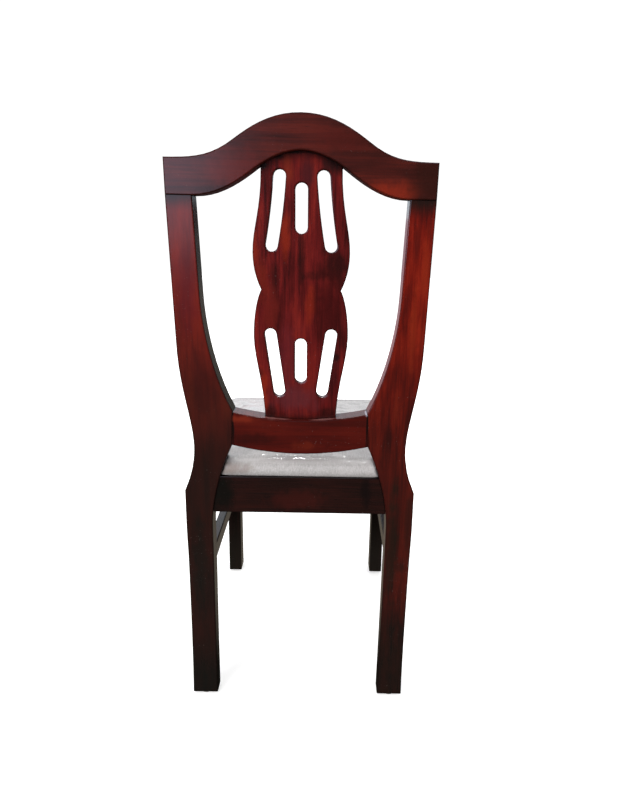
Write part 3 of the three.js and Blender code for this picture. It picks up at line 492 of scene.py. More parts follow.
def lacquered_wood(
    name, grain, colours, band_width, seed, contrast=1.0, smudge=0.4, ramps=(), clouds=(),
    corner=0.012, polish=0.2, shaded_side=0,
):
    """Stained mahogany under clear lacquer. The side argument, -1 or 1, paints shade on the faces
    toward -X or +X.
    """
    material, tree, shader, where = start_material(name)
    figure = {"Band Width": band_width, "Contrast": contrast, "Smudge Depth": smudge, "Seed": seed}
    wood = draw_grain(tree, where, grain, colours, figure)
    colour = lay_clouds(tree, where, wood["Color"], clouds)
    colour = lay_height_ramps(tree, where, colour, ramps)
    # Stain along the edges, and painted shade in the corners.
    stain_and_shade = use_group(tree, stain_and_corner_shade, {"Edge Width": EDGE_WIDTH, "Corner Reach": corner})
    colour = cover(tree, colour, stain_and_shade["Mask"], EDGE_STAIN_AND_SHADE_DEPTH, EDGE_STAIN_AND_SHADE)
    dust = use_group(tree, dust_specks, {"Vector": where})
    colour = cover(tree, colour, dust["Mask"], DUST_DEPTH, DUST)
    facing = add_node(tree, "ShaderNodeNewGeometry").outputs["Normal"]
    facing = add_node(tree, "ShaderNodeSeparateXYZ", {0: facing}).outputs
    # Painted shade on the faces toward one side.
    sideways = calc(tree, "MULTIPLY", facing["X"], shaded_side)
    painted_side_shade = rescale(tree, sideways, *SHADED_SIDE_FACING)
    colour = cover(tree, colour, painted_side_shade, EDGE_STAIN_AND_SHADE_DEPTH, EDGE_STAIN_AND_SHADE)
    below = rescale(tree, facing["Z"], *UNDERSIDE_FACING)
    worn = calc(tree, "MULTIPLY", below, UNDERSIDE_ROUGHNESS)
    inputs = {
        "Base Color": colour,
        "Roughness": calc(tree, "MAXIMUM", wood["Roughness"], worn),
        "Normal": bumped(tree, wood["Height"], FIBRE_STRENGTH, FIBRE_HEIGHT),
        "Specular IOR Level": SPECULAR_LEVEL,
        "Coat Weight": rescale(tree, below, 0.0, 1.0, COAT, UNDERSIDE_COAT),
        "Coat Roughness": polish,
        "Coat IOR": COAT_IOR,
    }
    fill(tree, shader, inputs)
    return material


print("grain directions:", list(GRAIN_TURNS))

# %% [markdown]
# Eight finishes make the chair's look. The crest is plum brown with a warm glow where a hand
# takes it, the splat has the liveliest figure, the posts run from bright red at the top to nearly
# black at the foot, and what is under the seat is nearly black all over. The clouds are given one
# by one, and nearly all reach through the board along Y, so that the front shows them too.

# %% Where the stain came out uneven, and where shade and a highlight are painted
ORANGE = (0.22, 0.018, 0.006)
PLUM = (0.045, 0.008, 0.010)
INK = (0.010, 0.004, 0.0035)
PALE_LINE_TONE = (0.34, 0.15, 0.14)
CREST_CLOUDS = (
    ((-0.135, 0.235, 0.915), (0.055, 0.1, 0.020), ORANGE, 0.75),
    ((-0.205, 0.235, 0.940), (0.040, 0.1, 0.070), (0.026, 0.006, 0.004), 0.85),
    ((-0.060, 0.235, 0.990), (0.050, 0.1, 0.020), (0.09, 0.009, 0.006), 0.5),
    ((0.105, 0.235, 0.945), (0.060, 0.1, 0.030), (0.11, 0.012, 0.010), 0.5),
)
SPLAT_CLOUDS_AND_SHADOW = (
    ((0.022, 0.2, 0.950), (0.010, 0.1, 0.030), (0.17, 0.018, 0.008), 0.8),
    ((-0.010, 0.2, 0.945), (0.014, 0.1, 0.030), PLUM, 0.75),
    ((-0.050, 0.2, 0.955), (0.025, 0.1, 0.018), (0.02, 0.006, 0.006), 0.85),
    ((0.026, 0.2, 0.850), (0.009, 0.1, 0.045), ORANGE, 0.7),
    ((0.080, 0.2, 0.825), (0.012, 0.1, 0.040), ORANGE, 0.6),
    ((0.000, 0.2, 0.810), (0.007, 0.1, 0.060), INK, 0.6),
    ((0.042, 0.2, 0.785), (0.010, 0.1, 0.026), INK, 0.45),
    ((-0.056, 0.2, 0.800), (0.028, 0.1, 0.036), INK, 0.8),
    ((0.050, 0.2, 0.715), (0.016, 0.1, 0.070), (0.125, 0.011, 0.008), 0.7),
    ((0.066, 0.2, 0.780), (0.016, 0.1, 0.040), (0.160, 0.014, 0.007), 0.6),
    ((-0.024, 0.2, 0.786), (0.030, 0.1, 0.009), INK, 0.45),
    ((-0.015, 0.2, 0.740), (0.010, 0.1, 0.040), ORANGE, 0.5),
    ((0.022, 0.2, 0.650), (0.030, 0.1, 0.070), (0.105, 0.012, 0.016), 0.65),
    ((-0.050, 0.2, 0.650), (0.018, 0.1, 0.060), (0.050, 0.007, 0.008), 0.6),
    ((-0.045, 0.2, 0.740), (0.026, 0.1, 0.080), (0.044, 0.004, 0.004), 0.75),
    ((0.052, 0.2, 0.552), (0.014, 0.1, 0.016), INK, 0.7),
    ((-0.048, 0.2, 0.552), (0.016, 0.1, 0.012), INK, 0.6),
    ((0.062, 0.2, 0.570), (0.007, 0.1, 0.022), ORANGE, 0.6),
    # These three paint the shadow that the crest's arch casts on the top of the splat.
    ((0.062, 0.2, 0.954), (0.012, 0.1, 0.006), INK, 0.9),
    ((0.040, 0.2, 0.967), (0.014, 0.1, 0.006), INK, 0.9),
    ((0.013, 0.2, 0.975), (0.017, 0.1, 0.005), INK, 0.9),
    ((-0.060, 0.2, 0.650), (0.008, 0.1, 0.008), INK, 0.7),
    ((0.064, 0.2, 0.600), (0.008, 0.1, 0.030), ORANGE, 0.6),
    ((0.072, 0.2, 0.620), (0.010, 0.1, 0.010), INK, 0.6),
    ((0.010, 0.2, 0.575), (0.050, 0.1, 0.030), (0.102, 0.019, 0.024), 0.7),
)
RAIL_CLOUDS = (
    ((0.1165, 0.21, 0.523), (0.0024, 0.1, 0.050), INK, 0.95),
    ((-0.1165, 0.21, 0.523), (0.0024, 0.1, 0.050), INK, 0.95),
    # A pale line along the rail's top rear edge.
    ((0.045, 0.206, 0.5405), (0.030, 0.0055, 0.006), PALE_LINE_TONE, 0.6),
    ((-0.045, 0.206, 0.5405), (0.030, 0.0055, 0.006), PALE_LINE_TONE, 0.6),
    ((0.105, 0.21, 0.540), (0.030, 0.1, 0.008), (0.20, 0.022, 0.009), 0.7),
    ((0.090, 0.21, 0.505), (0.045, 0.1, 0.012), INK, 0.5),
    ((-0.010, 0.21, 0.492), (0.025, 0.1, 0.010), (0.13, 0.014, 0.006), 0.6),
    # A painted highlight: a lilac-white glint on the rail's end by the right post.
    ((-0.1155, 0.206, 0.552), (0.0034, 0.02, 0.005), (0.50, 0.47, 0.58), 0.8),
)
LEFT_POST_CLOUDS = (
    ((0.186, 0.22, 0.590), (0.008, 0.1, 0.050), (0.16, 0.016, 0.006), 0.6),
    ((0.150, 0.21, 0.540), (0.006, 0.1, 0.030), (0.17, 0.018, 0.007), 0.5),
    ((0.182, 0.21, 0.260), (0.016, 0.1, 0.110), (0.026, 0.014, 0.009), 0.6),
    ((0.128, 0.21, 0.565), (0.010, 0.1, 0.035), (0.20, 0.020, 0.008), 0.6),
    ((0.185, 0.22, 0.760), (0.020, 0.1, 0.080), (0.085, 0.006, 0.010), 0.5),
    ((0.165, 0.21, 0.600), (0.030, 0.1, 0.060), (0.060, 0.004, 0.004), 0.5),
)
RIGHT_POST_CLOUDS = (
    ((-0.200, 0.22, 0.800), (0.007, 0.1, 0.060), ORANGE, 0.7),
    ((-0.186, 0.22, 0.700), (0.006, 0.1, 0.090), (0.24, 0.022, 0.007), 0.5),
    ((-0.183, 0.22, 0.840), (0.006, 0.1, 0.040), (0.05, 0.006, 0.005), 0.5),
    ((-0.165, 0.21, 0.560), (0.006, 0.1, 0.040), (0.20, 0.018, 0.007), 0.5),
    ((-0.170, 0.21, 0.300), (0.014, 0.1, 0.130), (0.032, 0.013, 0.007), 0.75),
    ((-0.198, 0.21, 0.340), (0.009, 0.1, 0.080), (0.085, 0.010, 0.006), 0.8),
    ((-0.186, 0.22, 0.255), (0.009, 0.1, 0.012), (0.060, 0.011, 0.007), 0.6),
)
SEAT_RAIL_CLOUDS = (
    ((0.145, 0.205, 0.400), (0.035, 0.1, 0.040), (0.004, 0.005, 0.004), 0.85),
    ((-0.120, 0.205, 0.400), (0.012, 0.1, 0.035), (0.006, 0.004, 0.004), 0.7),
    ((0.000, 0.205, 0.385), (0.060, 0.1, 0.020), (0.048, 0.008, 0.006), 0.6),
)
# A ramp is (low, high, wander, depth). This one has low above high, so it darkens upward: painted
# shade on the posts just under the crest.
SHADE_UNDER_CREST = (0.906, 0.878, 0.02, 0.85)
LEFT_POST_RAMPS = ((0.42, 0.80, 0.12, 0.88), (0.02, 0.16, 0.05, 0.6), SHADE_UNDER_CREST)
RIGHT_POST_RAMPS = ((0.38, 0.78, 0.12, 0.66), (0.06, 0.27, 0.08, 0.82), SHADE_UNDER_CREST)
print("clouds on the splat:", len(SPLAT_CLOUDS_AND_SHADOW))

# %% The eight wood finishes
woods = {
    "crest": lacquered_wood(
        "crest mahogany", "across",
        ((0.026, 0.006, 0.0045), (0.050, 0.008, 0.006), (0.085, 0.011, 0.007)),
        band_width=0.016, seed=3.0, contrast=1.4, smudge=0.3, clouds=CREST_CLOUDS,
    ),
    "splat": lacquered_wood(
        "splat mahogany", "up",
        ((0.034, 0.004, 0.004), (0.110, 0.008, 0.008), (0.205, 0.016, 0.011)),
        # The long corner reach also paints a dark shadow on the splat under the crest's arch.
        band_width=0.011, seed=7.0, contrast=1.15, clouds=SPLAT_CLOUDS_AND_SHADOW, corner=0.022,
        polish=0.13,
    ),
    "left_post": lacquered_wood(
        "left post mahogany", "up",
        ((0.080, 0.008, 0.006), (0.140, 0.011, 0.006), (0.190, 0.014, 0.007)),
        band_width=0.012, seed=11.0, contrast=1.1, smudge=0.2, ramps=LEFT_POST_RAMPS,
        # Its faces toward -X get painted shade.
        clouds=LEFT_POST_CLOUDS, shaded_side=-1,
    ),
    "right_post": lacquered_wood(
        "right post mahogany", "up",
        ((0.060, 0.005, 0.004), (0.145, 0.008, 0.004), (0.230, 0.015, 0.006)),
        band_width=0.010, seed=17.0, contrast=1.3, ramps=RIGHT_POST_RAMPS,
        clouds=RIGHT_POST_CLOUDS, polish=0.14,
    ),
    "rail": lacquered_wood(
        "back rail mahogany", "across",
        ((0.034, 0.005, 0.004), (0.070, 0.006, 0.004), (0.105, 0.009, 0.005)),
        band_width=0.013, seed=5.0, contrast=0.8, clouds=RAIL_CLOUDS, corner=0.004,
    ),
    "seat_rail": lacquered_wood(
        "seat rail mahogany", "across",
        ((0.008, 0.005, 0.004), (0.016, 0.006, 0.005), (0.032, 0.008, 0.006)),
        band_width=0.016, seed=9.0, contrast=0.8, smudge=0.3, clouds=SEAT_RAIL_CLOUDS,
    ),
    "side_rail": lacquered_wood(
        "side rail mahogany", "deep",
        ((0.007, 0.005, 0.004), (0.016, 0.007, 0.006), (0.036, 0.009, 0.007)),
        band_width=0.016, seed=13.0,
    ),
    # The front legs' near-black colours are painted shade: they stand in for the shade under the
    # seat.
    "leg": lacquered_wood(
        "front leg mahogany with painted shade", "up",
        ((0.002, 0.0014, 0.001), (0.004, 0.002, 0.0015), (0.012, 0.004, 0.003)),
        band_width=0.014, seed=15.0,
    ),
}
print("woods:", sorted(woods))

# %% [markdown]
# The parts under the seat are plain: raw softwood corner blocks, a plywood board, steel screws
# and pale plastic glides. They still get a finish of their own, since the chair is seen from
# below when it is turned over.

# %% Raw wood, plywood, steel and plastic
RAW_PORES = 0.15
RAW_SMUDGES = 0.1
RAW_SEED = 21.0
RAW_ROUGHNESS = 0.75
RAW_STRENGTH = 0.4
RAW_HEIGHT = 0.0004
MOTTLE_STRENGTH = 0.3
MOTTLE_FLATNESS = 10
MOTTLE_EDGES = (0.35, 0.65)
SHEEN_EDGES = (0.3, 0.7)
SHEEN_SWING = 0.08


def raw_wood(name, grain, colours, band_width):
    """Planed wood with no finish on it."""
    material, tree, shader, where = start_material(name)
    figure = {
        "Band Width": band_width,
        "Pore Depth": RAW_PORES,
        "Smudge Depth": RAW_SMUDGES,
        "Seed": RAW_SEED,
    }
    wood = draw_grain(tree, where, grain, colours, figure)
    inputs = {
        "Base Color": wood["Color"],
        "Roughness": RAW_ROUGHNESS,
        "Normal": bumped(tree, wood["Height"], RAW_STRENGTH, RAW_HEIGHT),
    }
    fill(tree, shader, inputs)
    return material


def speckled(name, colour, other, roughness, metallic, width):
    """A plain material with a fine mottle in colour, sheen and bump."""
    material, tree, shader, where = start_material(name)
    mottle = plain_noise(tree, where, 1 / width, detail=4.0)
    share = rescale(tree, mottle, *MOTTLE_EDGES)
    low, high = roughness - SHEEN_SWING, roughness + SHEEN_SWING
    inputs = {
        "Base Color": blend(tree, share, (*colour, 1), (*other, 1)),
        "Roughness": rescale(tree, mottle, *SHEEN_EDGES, low, high),
        "Normal": bumped(tree, mottle, MOTTLE_STRENGTH, width / MOTTLE_FLATNESS),
        "Metallic": metallic,
    }
    fill(tree, shader, inputs)
    return material


block_wood = raw_wood(
    "corner block pine", "up", ((0.25, 0.14, 0.06), (0.42, 0.27, 0.13), (0.55, 0.38, 0.2)), 0.006
)
plywood = raw_wood(
    "seat plywood", "deep", ((0.30, 0.18, 0.09), (0.48, 0.32, 0.17), (0.6, 0.44, 0.26)), 0.012
)
screw_steel = speckled(
    "screw steel", (0.5, 0.5, 0.48), (0.3, 0.29, 0.27), roughness=0.35, metallic=1.0, width=0.0012
)
glide_plastic = speckled(
    "glide plastic", (0.34, 0.33, 0.31), (0.24, 0.235, 0.22), roughness=0.35, metallic=0.0,
    width=0.003,
)
print("plain materials:", [m.name for m in (block_wood, plywood, screw_steel, glide_plastic)])

# %% [markdown]
# A piece takes a finish through its material slots. The names of the pieces say which one.

# %% Give every wooden, metal and plastic piece its finish
FINISHES = {
    "crest_rail": woods["crest"],
    "back_splat": woods["splat"],
    "lower_back_rail": woods["rail"],
    "rear_post_left": woods["left_post"],
    "rear_post_right": woods["right_post"],
    "front_leg": woods["leg"],
    "side_stretcher": woods["side_rail"],
    "side_seat_rail": woods["side_rail"],
    "front_seat_rail": woods["seat_rail"],
    "rear_seat_rail": woods["seat_rail"],
    "corner_block": block_wood,
    "seat_board": plywood,
    "block_": screw_steel,
    "seat_screw": screw_steel,
    "foot_glide": glide_plastic,
}


def finish_of(name):
    """The finish of a piece, by how its name starts. The pad's cover and foam have none here."""
    return next((finish for start, finish in FINISHES.items() if name.startswith(start)), None)


for name, piece in nodes.items():
    finish = finish_of(name)
    if finish:
        piece.data.materials.clear()
        piece.data.materials.append(finish)
        for face in piece.data.polygons:
            face.material_index = 0
print("finished:", sum(1 for name in nodes if finish_of(name)))

# %% [markdown]
# The seat is an upholstered pad: foam on a board, with woven cloth pulled over it and tacked
# underneath. A cloth simulation gives the real fullness. The pad's solids are melted into one
# closed skin, the skin is blown up a little from inside, and its foot and the places beside the
# back posts are held, because the cloth is pulled tight there. A vertex is held within a foot
# band of the foot or half a post band of a post, and comes free over the next band.

# %% The blank of the seat pad
PAD_VOXEL = 0.005
PAD_SHRINK = 0.0016
FOOT_BAND = 0.012
POST_BAND = 0.012
POST_HELD = 0.5
SNUG_REACH = 0.005
SNUG_GAP = 0.001


def settle(obj):
    """Carries out the object's modifiers."""
    seen = obj.evaluated_get(bpy.context.evaluated_depsgraph_get())
    mesh = bpy.data.meshes.new_from_object(seen)
    obj.modifiers.clear()
    obj.data = mesh


pad = mesh_object("seat_pad", work_mesh("seat_cover", "seat_foam", "seat_board"))
remesh = pad.modifiers.new("even faces", "REMESH")
remesh.mode = "VOXEL"
remesh.voxel_size = PAD_VOXEL
settle(pad)
pad_low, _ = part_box("seat_cover")
post_faces = work_mesh("rear_post_left", "rear_post_right")
posts = BVHTree.FromBMesh(post_faces)
post_faces.free()
print("pad blank:", len(pad.data.vertices), "vertices")

# %% Draw the blank in, snug at the posts, and mark what is held
held = pad.vertex_groups.new(name="held")


def limited(value):
    """A value held between 0 and 1."""
    return min(max(value, 0), 1)


for vertex, normal in zip(pad.data.vertices, [v.normal.copy() for v in pad.data.vertices]):
    spot = vertex.co.copy()
    post_spot, _, _, distance = posts.find_nearest(spot)
    free_of_foot = limited((spot.z - pad_low.z) / FOOT_BAND - 1)
    free_of_posts = limited(distance / POST_BAND - POST_HELD)
    free = free_of_foot * free_of_posts
    vertex.co = spot - normal * PAD_SHRINK * free
    if SNUG_GAP < distance < SNUG_REACH:
        vertex.co = post_spot + (spot - post_spot) * (SNUG_GAP / distance)
    if free == 0:
        held.add([vertex.index], 1.0, "REPLACE")
print("held:", sum(1 for vertex in pad.data.vertices if vertex.groups), "vertices")

# %% Blow the pad up
PAD_PRESSURE = 4.0
PAD_FRAMES = 20
PAD_MOST_MOVE = 0.005
CLOTH_STIFFNESS = 40
CLOTH_BENDING = 2


def inflate(obj):
    """Cloth under pressure from inside. It swells up to a limit and doesn't sink in."""
    rest = [(v.co.copy(), v.normal.copy()) for v in obj.data.vertices]
    cloth = obj.modifiers.new("blown", "CLOTH")
    cloth.settings.use_pressure = True
    cloth.settings.uniform_pressure_force = PAD_PRESSURE
    cloth.settings.effector_weights.gravity = 0
    cloth.settings.vertex_group_mass = "held"
    cloth.settings.tension_stiffness = CLOTH_STIFFNESS
    cloth.settings.compression_stiffness = CLOTH_STIFFNESS
    cloth.settings.bending_stiffness = CLOTH_BENDING
    for number in range(1, PAD_FRAMES + 1):
        bpy.context.scene.frame_set(number)
    settle(obj)
    largest = 0
    for vertex, (start, outward) in zip(obj.data.vertices, rest):
        move = vertex.co - start
        move -= outward * min(move.dot(outward), 0)
        if move.length > PAD_MOST_MOVE:
            move *= PAD_MOST_MOVE / move.length
        vertex.co = start + move
        largest = max(largest, move.length)
    bpy.context.scene.frame_set(1)
    return largest


print("largest move:", round(inflate(pad), 4))
smooth = pad.modifiers.new("smooth", "SUBSURF")
smooth.levels = 1
settle(pad)
print("pad:", len(pad.data.polygons), "faces")

# %% [markdown]
# The board fills a pocket in the pad, and the cloth is turned in under it as a hem. Two cuts
# make that: one the size of the board, and a smaller one below it that leaves the hem. A cut can
# leave slivers along its rim, so those are cleaned away last.

# %% Cut the pocket for the board
POCKET_ROOM = 0.0004
POCKET_DEPTH = 0.02
HEM_SHARE = 0.87
PAD_CREASE = 50
WELD = 0.00001


def outline_of(name):
    """The longest loop round the top face of a flat piece."""
    work = work_mesh(name)
    bmesh.ops.remove_doubles(work, verts=work.verts, dist=WELD)
    rim = [e for e in work.edges if sorted(round(f.normal.z) for f in e.link_faces) == [0, 1]]
    loops = []
    while rim:
        edge = rim.pop(0)
        loop = list(edge.verts)
        following = edge
        while following:
            following = next((e for e in loop[-1].link_edges if e in rim), None)
            if following:
                rim.remove(following)
                loop.append(following.other_vert(loop[-1]))
        loops.append([v.co.copy() for v in loop[:-1]])
    work.free()
    return max(loops, key=len)


def cut_pocket(obj, outline, share, low, high):
    """Takes a block with that outline, scaled by share, out of a closed mesh."""
    work = bmesh.new()
    rings = [
        [work.verts.new((p.x * share, p.y * share, level)) for p in outline]
        for level in (low, high)
    ]
    for ring in rings:
        work.faces.new(ring)
    for near, far in zip(range(len(outline)), [*range(1, len(outline)), 0]):
        work.faces.new((rings[0][near], rings[0][far], rings[1][far], rings[1][near]))
    bmesh.ops.recalc_face_normals(work, faces=work.faces)
    cutter = mesh_object("pocket", work)
    taken = obj.modifiers.new("pocket", "BOOLEAN")
    taken.operation = "DIFFERENCE"
    taken.solver = "MANIFOLD"
    taken.object = cutter
    settle(obj)
    bpy.data.objects.remove(cutter)


def split_large_faces(work):
    """Cuts faces with more than four corners into triangles."""
    large = [face for face in work.faces if len(face.verts) > 4]
    bmesh.ops.triangulate(work, faces=large)


def drop_folded_faces(obj):
    """Removes slivers that a cut left, and triangles that lie folded onto each other."""
    work = bmesh.new()
    work.from_mesh(obj.data)
    bmesh.ops.remove_doubles(work, verts=work.verts, dist=WELD)
    split_large_faces(work)
    bmesh.ops.dissolve_degenerate(work, dist=WELD, edges=work.edges)
    split_large_faces(work)
    work.verts.index_update()
    by_corners = {}
    for face in work.faces:
        by_corners.setdefault(frozenset(v.index for v in face.verts), []).append(face)
    folded = [face for faces in by_corners.values() if len(faces) > 1 for face in faces]
    bmesh.ops.delete(work, geom=folded, context="FACES")
    work.to_mesh(obj.data)
    work.free()
    return len(folded)


board_low, board_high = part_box("seat_board")
board_outline = outline_of("seat_board")
pocket_share = 1 + POCKET_ROOM / board_high.x
cut_pocket(
    pad, board_outline, pocket_share, board_low.z - POCKET_ROOM, board_high.z + POCKET_ROOM
)
cut_pocket(pad, board_outline, HEM_SHARE, board_low.z - POCKET_DEPTH, board_low.z)
print("folded faces dropped:", drop_folded_faces(pad))
for face in pad.data.polygons:
    face.use_smooth = True
pad.data.set_sharp_from_angle(angle=math.radians(PAD_CREASE))
print("pad with its pocket:", len(pad.data.polygons), "faces, outline", len(board_outline))

# %% [markdown]
# The cloth is a pale grey-beige weave of two crossed sets of threads, with thicker threads here
# and there, fine flecks and slow fading. Three lines across the seat are painted light: painted
# shade where the film ends near the front, fainter painted shade at the film's fold, and a pale
# band of painted light over the roll along the back edge.

# %% Woven cloth
THREAD_PITCH = 0.0017
THREAD_SHARE = 0.5
SLUB_STRETCH = (1, 0.2, 0.4)
SLUB_SCALE = 420.0
FLECK_SCALE = 520.0
FLECK_SHARE = 0.9
FADE_SCALE = 30.0
FADE_SHARE = 0.4
TONE_EDGES = (0.8, 1.5)
WEAVE_STRENGTH = 0.4
WEAVE_HEIGHT = 0.0005
CLOTH_DARK = (0.36, 0.348, 0.346, 1)
CLOTH_LIGHT = (0.585, 0.572, 0.575, 1)
CLOTH_PAINTED_SHADE = (0.2, 0.2, 0.2, 1)
CLOTH_PAINTED_LIGHT = (0.68, 0.665, 0.668, 1)
FILM_END = -0.222
FILM_FOLD = -0.194
ROLL_TOP = 0.1892
# All three lines are painted light: two lines of painted shade near the front edge, and a pale
# band of painted light over the roll at the back, against the back rail's shade.
# A line is its place along Y, how far it is full, how far it reaches, its colour and its share.
CLOTH_PAINTED_LINES = (
    (FILM_END, 0.004, 0.012, CLOTH_PAINTED_SHADE, 0.3),
    (FILM_FOLD, 0.004, 0.012, CLOTH_PAINTED_SHADE, 0.2),
    (ROLL_TOP, 0.002, 0.007, CLOTH_PAINTED_LIGHT, 0.6),
)
SEAT_PAINTED_SHADE = (
    # Painted shade at the left end of the pad beside the left post, warm with the red that the
    # post throws back.
    ((0.132, 0.203, 0.445), (0.050, 0.014, 0.016), (0.25, 0.20, 0.18), 0.75),
)


def distance_from(tree, value, level):
    """How far a value is from a level, on either side of it."""
    return calc(tree, "ABSOLUTE", calc(tree, "SUBTRACT", value, level))


def woven_cloth(tree, where):
    """The cloth's colour and its bump."""
    spot = add_node(tree, "ShaderNodeSeparateXYZ", {0: where}).outputs
    turns = 2 * math.pi / THREAD_PITCH
    warp = calc(tree, "SINE", calc(tree, "MULTIPLY", spot["X"], turns))
    weft = calc(tree, "SINE", calc(tree, "MULTIPLY", spot["Y"], turns))
    weave = calc(tree, "MULTIPLY", warp, weft)
    drawn = add_node(tree, "ShaderNodeMapping", {"Vector": where, "Scale": SLUB_STRETCH})
    slub = plain_noise(tree, drawn.outputs[0], SLUB_SCALE, detail=3.0)
    flecks = plain_noise(tree, where, FLECK_SCALE)
    fade = plain_noise(tree, where, FADE_SCALE, detail=3.0)
    tone = calc(tree, "ADD", slub, calc(tree, "MULTIPLY", flecks, FLECK_SHARE))
    tone = calc(tree, "ADD", tone, calc(tree, "MULTIPLY", fade, FADE_SHARE))
    colour = blend(tree, rescale(tree, tone, *TONE_EDGES), CLOTH_DARK, CLOTH_LIGHT)
    # The lines paint shade near the front and light over the back roll.
    for line, full, reach, tint, most in CLOTH_PAINTED_LINES:
        away = distance_from(tree, spot["Y"], line)
        colour = blend(tree, rescale(tree, away, full, reach, most, 0.0), colour, tint)
    colour = lay_clouds(tree, where, colour, SEAT_PAINTED_SHADE)
    height = calc(tree, "ADD", calc(tree, "MULTIPLY", weave, THREAD_SHARE), slub)
    return colour, bumped(tree, height, WEAVE_STRENGTH, WEAVE_HEIGHT)


# %% [markdown]
# New seats are sold under a thin clear film. Here it is a clear coat on the cloth: it is strong
# where it clings and weaker where it stands off, thinner over its fold, and gone past its end.
# Soft crinkles bend what it mirrors.

# %% Clear film, and the seat's finish
CRINKLE_SCALE = 30.0
CRINKLE_WARP = 1.2
FINE_CRINKLE_SCALE = 160.0
FINE_CRINKLE_SHARE = 0.12
CRINKLE_STRENGTH = 0.5
CRINKLE_HEIGHT = 0.004
CLING_SCALE = 14.0
CLING_WARP = 1.5
CLING_EDGES = (0.46, 0.54)
FILM_COAT = (0.4, 0.95)
FILM_ROUGHNESS = 0.07
FOLD_EDGES = (0.004, 0.010)
FOLD_COAT = 0.6
FILM_END_WIDTH = 0.01
CLOTH_ROUGHNESS = 0.85
CLOTH_SHEEN = 0.15


def clear_film(tree, where):
    """The film's weight as a coat, and its bump."""
    along = add_node(tree, "ShaderNodeSeparateXYZ", {0: where}).outputs["Y"]
    cling = plain_noise(tree, where, CLING_SCALE, detail=1.0, warp=CLING_WARP)
    weight = rescale(tree, cling, *CLING_EDGES, *FILM_COAT, smooth=True)
    fold = rescale(tree, distance_from(tree, along, FILM_FOLD), *FOLD_EDGES, FOLD_COAT, 1.0)
    weight = calc(tree, "MULTIPLY", weight, fold)
    before_end = rescale(tree, along, FILM_END, FILM_END + FILM_END_WIDTH)
    weight = calc(tree, "MULTIPLY", weight, before_end)
    wide = plain_noise(tree, where, CRINKLE_SCALE, warp=CRINKLE_WARP)
    fine = plain_noise(tree, where, FINE_CRINKLE_SCALE, detail=1.0)
    crinkle = calc(tree, "ADD", wide, calc(tree, "MULTIPLY", fine, FINE_CRINKLE_SHARE))
    return weight, bumped(tree, crinkle, CRINKLE_STRENGTH, CRINKLE_HEIGHT)


def seat_fabric():
    """Woven cloth in pale grey-beige, with a glossy film over it."""
    material, tree, shader, where = start_material("seat fabric")
    colour, cloth_normal = woven_cloth(tree, where)
    film_weight, film_normal = clear_film(tree, where)
    inputs = {
        "Base Color": colour,
        "Roughness": CLOTH_ROUGHNESS,
        "Normal": cloth_normal,
        "Sheen Weight": CLOTH_SHEEN,
        "Coat Weight": film_weight,
        "Coat Roughness": FILM_ROUGHNESS,
        "Coat Normal": film_normal,
    }
    fill(tree, shader, inputs)
    return material


pad.data.materials.clear()
pad.data.materials.append(seat_fabric())
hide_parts("seat_cover", "seat_foam")
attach(pad, "root")
print("pad:", pad.name, "in", pad.data.materials[0].name)

# %% [markdown]
# The chair stands on a plain pale floor. Seen by the camera, the floor is white with a soft
# shadow at the feet, and it melts into the white room further out. For the light that bounces
# off it, it is darker, because the legs and the lacquer in the photograph are darker than a
# white floor would leave them. Mirrored in the gloss it glows dimly, less so behind the chair
# and far in front of it. One helper sorts the rays, for the floor here and the room below.

# %% Floor
FLOOR_REACH = 12.0
FLOOR_SIDES = 96
WHITE_FROM = 0.45
WHITE_BY = 1.1
SEEN_GLOW = (0.5, 1.1)
SEEN_FLOOR = (0.8, 0.8, 0.8, 1)
FELT_FLOOR = (0.16, 0.15, 0.14, 1)
MIRRORED_FLOOR = (1, 0.86, 0.68, 1)
SHINE_UNDER = 0.22
SHINE_BEHIND = 0.012
SHINE_IN_FRONT = 0.08
BEHIND_EDGES = (-0.1, 0.15)
IN_FRONT_EDGES = (-1.2, -0.4)


def by_ray(tree, seen, mirrored, felt):
    """One shader for the camera, one for the gloss, and one for all other light."""
    ray = add_node(tree, "ShaderNodeLightPath").outputs
    shader = felt
    for share, other in ((ray["Is Glossy Ray"], mirrored), (ray["Is Camera Ray"], seen)):
        shader = add_node(tree, "ShaderNodeMixShader", {0: share, 1: shader, 2: other}).outputs[0]
    return shader


